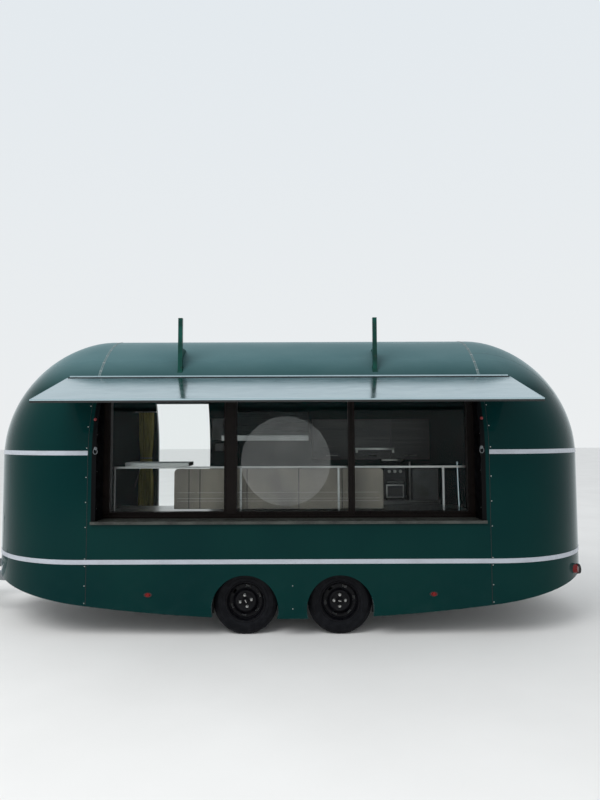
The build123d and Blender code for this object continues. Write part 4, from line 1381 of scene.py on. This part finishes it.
    def switch_box(self):
        """The grey fuse box and the socket below it, on the far wall beside the doorway."""
        pieces = []
        x = MIDDLE_X + self.switch_x
        for low_z, high_z, wide, deep in self.switch_boxes:
            walls = [meets((x, MIDDLE_Y, z), (0, 1, 0), "side_far")[0].y for z in (low_z, high_z)]
            low_wall, high_wall = walls
            front = (low_wall + high_wall) / 2 - deep - 0.02
            case = block((x - wide, front, low_z), (x + wide, high_wall, high_z))
            # the back follows the leaning wall
            for vertex in case.data.vertices:
                if vertex.co.y > high_wall - 0.001:
                    vertex.co.y = (low_wall if vertex.co.z < (low_z + high_z) / 2 else high_wall) + 0.004
            inset_faces(case, faces_street, (0.012, 0.004))
            pieces.append(round_edges(case, 0.004))
        finish_piece(joined(pieces), "switch_box", "floor_board")

    def execute(self, context):
        self.switch_box()
        self.handles()
        self.filters()
        self.oven()
        self.grey_cabinet()
        self.lamp_bar()
        self.curtain()
        return {"FINISHED"}


class TRAILER_OT_lamp_bezels(Operator):
    """Dark oval seats and red rims on the side lamps, and rings round and on the tail lamps"""

    bl_idname = "trailer.lamp_bezels"
    bl_label = "Lamp bezels"

    seat_profile = ((0.0142, 0.004), (0.017, 0.005), (0.0205, 0.004), (0.022, 0.001), (0.022, -0.001))
    seat_stretch = (1.75, 1.05, 1, 1)
    rim_profile = ((0.0115, 0.004), (0.0125, 0.008), (0.0145, 0.0085), (0.0165, 0.007), (0.0172, 0.004))
    rim_stretch = (1.5, 1.0, 1, 1)
    ring_profile = ((0.0395, -0.016), (0.0395, 0.003), (0.0415, 0.005), (0.0455, 0.004), (0.0475, -0.016))
    lens_profile = ((0.024, -0.001), (0.025, 0.0022), (0.0265, 0.0022), (0.0275, -0.001))

    def side_lamps(self):
        """A rubber seat under each side lamp and a red rim on its lens, both longer than high."""
        low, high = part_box("marker_lamps")
        seats, rims = [], []
        seat = spun(self.seat_profile, 36)
        rim = spun(self.rim_profile, 36)
        for x in (low.x + 0.014, high.x - 0.014):
            for side in (-1, 1):
                place = facing(*side_point(x - MIDDLE_X, side, (low.z + high.z) / 2))
                if abs(place.col[0].z) * self.seat_stretch[0] > 0.5:
                    place = place @ Matrix.Rotation(math.radians(90), 4, "Z")
                seats.append(copy_of(seat, place @ Matrix.Diagonal(self.seat_stretch)))
                rims.append(copy_of(rim, place @ Matrix.Diagonal(self.rim_stretch)))
        discard(seat, rim)
        finish_piece(joined(seats), "lamp_seats", "seal_rubber")
        finish_piece(joined(rims), "lamp_rims", "lamp_red")

    def tail_lamps(self):
        """A rubber ring round each tail lamp and a raised ring on its lens."""
        low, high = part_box("tail_lamps")
        places = []
        for y in (low.y + 0.04, high.y - 0.04):
            hit = meets((high.x + 0.3, y, (low.z + high.z) / 2), (-1, 0, 0), "tail_lamps")
            places.append(facing(hit[0], Vector((1, 0, 0))))
        finish_piece(spread_copies(spun(self.ring_profile, 48), places), "tail_lamp_rings", "seal_rubber")
        finish_piece(spread_copies(spun(self.lens_profile, 48), places), "tail_lens_rings", "lamp_red")

    def execute(self, context):
        self.side_lamps()
        self.tail_lamps()
        return {"FINISHED"}


class TRAILER_OT_door_trim(Operator):
    """The back door's gasket, screws, inner latch and stripe, and its hinges' screws"""

    bl_idname = "trailer.door_trim"
    bl_label = "Door trim"

    inset = 0.022
    steps = 160
    gasket_radius = 0.006
    gasket_lift = 0.002
    screw_inset = 0.03
    stripe_inset = 0.003
    stripe_thickness = 0.003

    def crossings(self, start_y, way, z):
        """Where lines along Y meet one face of the leaf square on, at one height, from end to end."""
        low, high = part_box("door_leaf")
        found = []
        for x in evenly(low.x, high.x, self.steps):
            hit = meets((x, start_y, z), (0, way, 0), "door_leaf")
            if hit and hit[1].y * way < -0.5:
                found.append((x, hit[0]))
        return found

    def row(self, z, high):
        """The leaf's inner face at one height: its first and last point, set in from the edges."""
        found = [place for _, place in self.crossings(high.y + 0.2, -1, z)]
        if not found:
            return None
        first = [p for p in found if p.x > found[0].x + self.inset][0]
        last = [p for p in found if p.x < found[-1].x - self.inset][-1]
        return first, last

    def gasket(self):
        """The gasket round the leaf's inner face, and the lining's screws inside it."""
        low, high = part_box("door_leaf")
        rows = [self.row(z, high) for z in evenly(low.z + 0.03, high.z - 0.03, 20)]
        rows = [row for row in rows if row]
        loop = [row[0] for row in rows] + [row[1] for row in reversed(rows)]
        lift = Vector((0, self.gasket_lift, 0))
        gasket = strand([place + lift for place in loop], self.gasket_radius, closed=True)
        finish_piece(gasket, "door_gasket", "seal_rubber", "back_door")
        places = []
        for row in rows[1:-1:3]:
            for place, inwards in zip(row, (self.screw_inset, -self.screw_inset)):
                hit = meets(place + Vector((inwards, 0.2, 0)), (0, -1, 0), "door_leaf")
                if hit:
                    places.append(facing(*hit))
        screw = spun([(0, 0.0018), (0.003, 0.0016), (0.0045, 0.0008), (0.005, 0)], 10)
        finish_piece(spread_copies(screw, places), "door_screws", "zinc", "back_door")

    def hinge_screws(self):
        """Two flush screws in each hinge's fixed plate, under the folded leaf."""
        low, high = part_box("door_hinges")
        places = []
        for middle in (low.z + 0.03, (low.z + high.z) / 2, high.z - 0.03):
            for z in (middle - 0.018, middle + 0.018):
                start = (high.x - 0.009, high.y + 0.002, z)
                places.append(facing(*meets(start, (0, -1, 0), "door_hinges")))
        screw = spun([
            (0, -0.0002), (0.0006, -0.0002), (0.0008, 0.0003), (0.0041, 0.0002), (0.0045, -0.0004),
        ], 12)
        finish_piece(spread_copies(screw, places), "hinge_screws", "zinc")

    def inner_latch(self):
        """The latch plate, keyhole and turned-down lever on the leaf's inner face."""
        low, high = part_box("door_handle")
        place = facing(*meets(((low.x + high.x) / 2, 3, (low.z + high.z) / 2), (0, -1, 0), "door_leaf"))
        up = (place.inverted().to_3x3() @ Vector((0, 0, 1))).normalized()
        upright = Matrix.Rotation(math.atan2(up.y, up.x), 4, "Z")
        plate = bar((-0.085, -0.019, -0.001), (0.085, 0.019, 0.004), 0.003, 3)
        boss = spun([(0, 0.016), (0.008, 0.016), (0.011, 0.014), (0.0125, 0.004)], 24)
        lever = strand([
            (0, 0, 0.012), (-0.004, -0.012, 0.017), (-0.008, -0.03, 0.018), (-0.012, -0.075, 0.018),
            (-0.016, -0.085, 0.014),
        ], 0.006, corners=3)
        keyhole = spun([(0.0022, 0.006), (0.0065, 0.006), (0.0075, 0.0045), (0.008, 0.0035)], 24)
        settle(keyhole, Matrix.Translation((-0.05, 0, 0)))
        latch = settle(joined([plate, boss, lever, keyhole]), place @ upright)
        finish_piece(latch, "inner_latch", "galley_steel", "back_door")

    def door_stripe(self):
        """The low stripe's length on the leaf's outer face."""
        start_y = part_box("door_leaf")[0].y - 0.1
        low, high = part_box("stripe_low")
        levels = [low.z, (low.z + high.z) / 2, high.z]
        xs = [x for x, _ in self.crossings(start_y, 1, levels[1])]
        bpy.ops.mesh.primitive_grid_add(x_subdivisions=1, y_subdivisions=2, size=2)
        piece = bpy.context.object
        for vertex in piece.data.vertices:
            x = xs[0] + self.stripe_inset if vertex.co.x < 0 else xs[-1] - self.stripe_inset
            z = levels[round(vertex.co.y + 1)]
            vertex.co = meets((x, start_y, z), (0, 1, 0), "door_leaf")[0]
        piece = round_edges(thicken(piece, self.stripe_thickness, 0), 0.0004, 1)
        finish_piece(piece, "door_stripe", "stripe_lilac", "back_door")

    def execute(self, context):
        self.gasket()
        self.hinge_screws()
        self.inner_latch()
        self.door_stripe()
        return {"FINISHED"}


class TRAILER_OT_hardware(Operator):
    """Bolt heads on the coupling, drawbar, jack and axle arms, and the jack's weld rings"""

    bl_idname = "trailer.hardware"
    bl_label = "Hardware"

    # radius and height of the weld ring, the ring under the cap and the rolled lower edge
    tube_radius = 0.0302
    jack_collars = (
        ((tube_radius, 0.1), (0.038, 0.1), (0.0365, 0.104), (0.0325, 0.108), (tube_radius, 0.109)),
        (
            (tube_radius, 0.53), (0.0335, 0.531), (0.0345, 0.534),
            (0.0345, 0.566), (0.0335, 0.569), (tube_radius, 0.57),
        ),
        (
            (tube_radius, 0.001), (0.033, 0.001), (0.034, 0.004),
            (0.034, 0.012), (0.0325, 0.016), (tube_radius, 0.0165),
        ),
    )
    # from the plate's front edge to the jack's middle, and from there along and across to the bolts
    jack_middle = 0.11
    jack_bolts = (0.07, 0.22)
    drawbar_bolt_size = 0.019
    arm_bolt_size = 0.015

    def on(self, node, points, direction):
        """Places on one node that a line from each point meets."""
        hits = [meets(point, direction, node) for point in points]
        return [facing(*hit) for hit in hits if hit]

    def drawbar_bolts(self, jack_x):
        """The bolts of the coupling head, of the drawbar under the rails and of the jack's plate."""
        places = []
        low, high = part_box("coupling_head")
        for side in (-1, 1):
            y, z = (low.y + high.y) / 2 + side * 0.4, (low.z + high.z) / 2 - 0.01
            places += self.on("coupling_head", [(high.x - d, y, z) for d in (0.035, 0.095)], (0, -side, 0))
        low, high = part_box("chassis_rails")
        for y in (low.y + 0.03, high.y - 0.03):
            places += self.on("drawbar", [(low.x + d, y, 0.1) for d in (0.12, 0.24, 0.36)], (0, 0, 1))
        along, across = self.jack_bolts
        for y in (MIDDLE_Y - across, MIDDLE_Y + across):
            places += self.on("jack_tube", [(jack_x + d, y, 1.5) for d in (-along, along)], (0, 0, -1))
        finish_piece(spread_copies(hex_bolt(self.drawbar_bolt_size), places), "drawbar_bolts", "zinc")

    def arm_bolts(self, end):
        """The bolts of both arms' flanges on one axle."""
        low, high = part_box(f"axle_{end}")
        points = [
            ((low.x + high.x) / 2 + dx, z) for dx in (-0.025, 0.025) for z in (low.z + 0.02, high.z - 0.02)
        ]
        places = []
        for side in (-1, 1):
            starts = [(x, MIDDLE_Y + side * 0.2, z) for x, z in points]
            places += self.on(f"arms_{end}", starts, (0, side, 0))
        if places:
            bolts = spread_copies(hex_bolt(self.arm_bolt_size), places)
            finish_piece(bolts, f"arm_bolts_{end}", "zinc")

    def execute(self, context):
        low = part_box("jack_tube")[0]
        jack_x = low.x + self.jack_middle
        rings = joined([spun(profile, 40) for profile in self.jack_collars])
        settle(rings, Matrix.Translation((jack_x, MIDDLE_Y, low.z)))
        finish_piece(rings, "jack_collars", "galvanised")
        self.drawbar_bolts(jack_x)
        self.arm_bolts("front")
        self.arm_bolts("rear")
        return {"FINISHED"}


class TRAILER_OT_splash_boards(Operator):
    """Black boards in front of, between and behind the wheels, that hang lower at the inner side; shaped as
    splash boards, they are also painted shade, a dark sheet where the ground under the body lies in shadow
    behind the tyres
    """

    bl_idname = "trailer.splash_boards"
    bl_label = "Splash boards"

    gap = 0.018
    lip = 0.05
    levels = (0.215, 0.29, 0.365, 0.44, 0.515)
    hang = 1.25
    skirt_inset = 0.012
    skirt_step = 0.02
    tyre_room = 0.02
    thickness = 0.003

    def skirt_y(self, x, z, side):
        """Just inside the skirt's outer face at one place, or at the first place above that has skirt."""
        node = "side_near" if side == 1 else "side_far"
        for i in range(20):
            hit = meets((x, MIDDLE_Y - side * OUTSIDE, z + i * self.skirt_step), (0, side, 0), node)
            if hit:
                return hit[0].y + side * self.skirt_inset
        raise RuntimeError(f"no skirt was met above x {x}, z {z}")

    def board(self, columns, side, inner_y):
        """A bent board of (x, whether it is an outer edge) columns; outer edges follow the skirt."""
        last, rows = len(columns) - 1, len(self.levels) - 1
        bpy.ops.mesh.primitive_grid_add(x_subdivisions=last, y_subdivisions=rows, size=2)
        piece = bpy.context.object
        for vertex in piece.data.vertices:
            x, is_outer = columns[round((vertex.co.x + 1) / 2 * last)]
            z = self.levels[round((vertex.co.y + 1) / 2 * rows)]
            if is_outer:
                vertex.co = (x, self.skirt_y(x, z, side), z)
            else:
                vertex.co = (x, inner_y, self.levels[-1] - (self.levels[-1] - z) * self.hang)
        return round_edges(thicken(piece, self.thickness, 0), 0.0008)

    def execute(self, context):
        boards = []
        for side, name in ((1, "near"), (-1, "far")):
            front_low, front_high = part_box(f"tyre_front_{name}")
            rear_low, rear_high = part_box(f"tyre_rear_{name}")
            inner_y = front_high.y + self.tyre_room if side == 1 else front_low.y - self.tyre_room
            ahead, behind = front_low.x - self.gap, rear_high.x + self.gap
            first, second = front_high.x + self.gap, rear_low.x - self.gap
            for columns in (
                [(ahead, True), (ahead, False), (ahead - self.lip, False)],
                [(first, True), (first, False), (second, False), (second, True)],
                [(behind, True), (behind, False), (behind + self.lip, False)],
            ):
                boards.append(self.board(columns, side, inner_y))
        # painted shade: the black boards stand where the shadowed ground shows behind the tyres
        finish_piece(joined(boards), "splash_boards", "seal_rubber")
        return {"FINISHED"}


class TRAILER_OT_stage(Operator):
    """Pale floor, soft sky, one soft lamp and the camera at the photograph's angle"""

    bl_idname = "trailer.stage"
    bl_label = "Stage"

    floor_size = 160
    light_colour = (0.94, 0.97, 1.0, 1)
    light_strength = 0.9
    seen_colours = ((0.0, (0.84, 0.86, 0.87, 1)), (0.9, (0.74, 0.8, 0.85, 1)))
    lamp_place = (-5, -7, 9)
    lamp_size = 7
    lamp_energy = 600
    # sideways in metres, pitch in degrees and roll in radians
    camera_sideways = 0.104
    camera_pitch = 3.48
    camera_roll = -0.0035
    camera_sensor = 36
    camera_lens = 36
    camera_reach = 400

    def floor(self):
        """A wide pale floor with faint mottling."""
        clear_selection()
        bpy.ops.mesh.primitive_grid_add(x_subdivisions=2, y_subdivisions=2, size=self.floor_size)
        floor = settle(bpy.context.object)
        floor.name = "floor"
        finish = Finish("pale_floor", (0.8, 0.79, 0.77), 0.9, specular=0.2)
        finish.paint(finish.clouds(0.7, 6, 0.3, 0.7), (0.78, 0.775, 0.76), (0.83, 0.825, 0.81))
        floor.data.materials.append(finish.material)

    def sky(self):
        """Pale even light on the object; the eye, gloss and glass see a pale background."""
        world = bpy.data.worlds.new("overcast")
        bpy.context.scene.world = world
        world.use_nodes = True
        nodes, links = world.node_tree.nodes, world.node_tree.links
        light = nodes["Background"]
        light.inputs["Color"].default_value = self.light_colour
        light.inputs["Strength"].default_value = self.light_strength
        place = nodes.new("ShaderNodeTexCoord")
        split = nodes.new("ShaderNodeSeparateXYZ")
        links.new(place.outputs["Generated"], split.inputs["Vector"])
        ramp = nodes.new("ShaderNodeValToRGB")
        links.new(split.outputs["Z"], ramp.inputs["Fac"])
        for element, (position, colour) in zip(ramp.color_ramp.elements, self.seen_colours):
            element.position = position
            element.color = colour
        seen = nodes.new("ShaderNodeBackground")
        links.new(ramp.outputs["Color"], seen.inputs["Color"])
        rays = nodes.new("ShaderNodeLightPath")
        total = rays.outputs["Is Camera Ray"]
        for kind in ("Is Glossy Ray", "Is Transmission Ray"):
            either = nodes.new("ShaderNodeMath")
            either.operation = "MAXIMUM"
            links.new(total, either.inputs[0])
            links.new(rays.outputs[kind], either.inputs[1])
            total = either.outputs["Value"]
        choice = nodes.new("ShaderNodeMixShader")
        links.new(total, choice.inputs["Fac"])
        links.new(light.outputs["Background"], choice.inputs[1])
        links.new(seen.outputs["Background"], choice.inputs[2])
        links.new(choice.outputs["Shader"], nodes["World Output"].inputs["Surface"])

    def lamp(self):
        """One wide soft lamp high in front."""
        clear_selection()
        bpy.ops.object.light_add(type="AREA", location=from_middle(*self.lamp_place))
        lamp = bpy.context.object
        lamp.data.shape = "DISK"
        lamp.data.size = self.lamp_size
        lamp.data.energy = self.lamp_energy
        aim = from_middle(0, 0, 1) - lamp.location
        lamp.rotation_euler = aim.to_track_quat("-Z", "Y").to_euler()
        lamp.visible_glossy = False

    def camera(self):
        """The camera that took the photograph, found from the body's seams, stripes and wheels."""
        data = bpy.data.cameras.new("photo_camera")
        camera = bpy.data.objects.new("photo_camera", data)
        bpy.context.scene.collection.objects.link(camera)
        data.sensor_fit = "HORIZONTAL"
        data.sensor_width = self.camera_sensor
        data.lens = self.camera_lens
        data.clip_end = self.camera_reach
        place = from_middle(self.camera_sideways, -sizes().camera_distance, sizes().camera_height)
        pitch = Matrix.Rotation(math.radians(90) + math.radians(self.camera_pitch), 4, "X")
        camera.matrix_world = Matrix.Translation(place) @ pitch @ Matrix.Rotation(self.camera_roll, 4, "Z")
        bpy.context.scene.camera = camera
        bpy.context.scene.view_settings.view_transform = "Standard"

    def execute(self, context):
        self.floor()
        self.sky()
        self.lamp()
        self.camera()
        return {"FINISHED"}


PIECE_OPERATORS = (
    TRAILER_OT_finishes,
    TRAILER_OT_tyres,
    TRAILER_OT_wheels,
    TRAILER_OT_seams,
    TRAILER_OT_window,
    TRAILER_OT_jamb_fittings,
    TRAILER_OT_canopy_trim,
    TRAILER_OT_guard_boards,
    TRAILER_OT_galley,
    TRAILER_OT_lamp_bezels,
    TRAILER_OT_door_trim,
    TRAILER_OT_hardware,
    TRAILER_OT_splash_boards,
    TRAILER_OT_stage,
)


class TRAILER_PT_panel(Panel):
    """Lists the trailer's sizes, colours and pieces"""

    bl_idname = "TRAILER_PT_panel"
    bl_label = "Food Trailer"
    bl_space_type = "VIEW_3D"
    bl_region_type = "UI"
    bl_category = "Trailer"

    def draw(self, context):
        for group in (context.scene.trailer_sizes, context.scene.trailer_colours):
            for name in group.bl_rna.properties.keys():
                if name not in ("rna_type", "name"):
                    self.layout.prop(group, name)
        for piece in PIECE_OPERATORS:
            self.layout.operator(piece.bl_idname)


CLASSES = (TrailerSizes, TrailerColours, *PIECE_OPERATORS, TRAILER_PT_panel)


def register():
    for item in CLASSES:
        bpy.utils.register_class(item)
    bpy.types.Scene.trailer_sizes = PointerProperty(type=TrailerSizes)
    bpy.types.Scene.trailer_colours = PointerProperty(type=TrailerColours)


def unregister():
    del bpy.types.Scene.trailer_colours
    del bpy.types.Scene.trailer_sizes
    for item in reversed(CLASSES):
        bpy.utils.unregister_class(item)


def main():
    """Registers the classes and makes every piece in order."""
    register()
    clear_selection()
    for piece in PIECE_OPERATORS:
        group, name = piece.bl_idname.split(".")
        getattr(getattr(bpy.ops, group), name)()
    clear_selection()


if __name__ == "__main__":
    main()
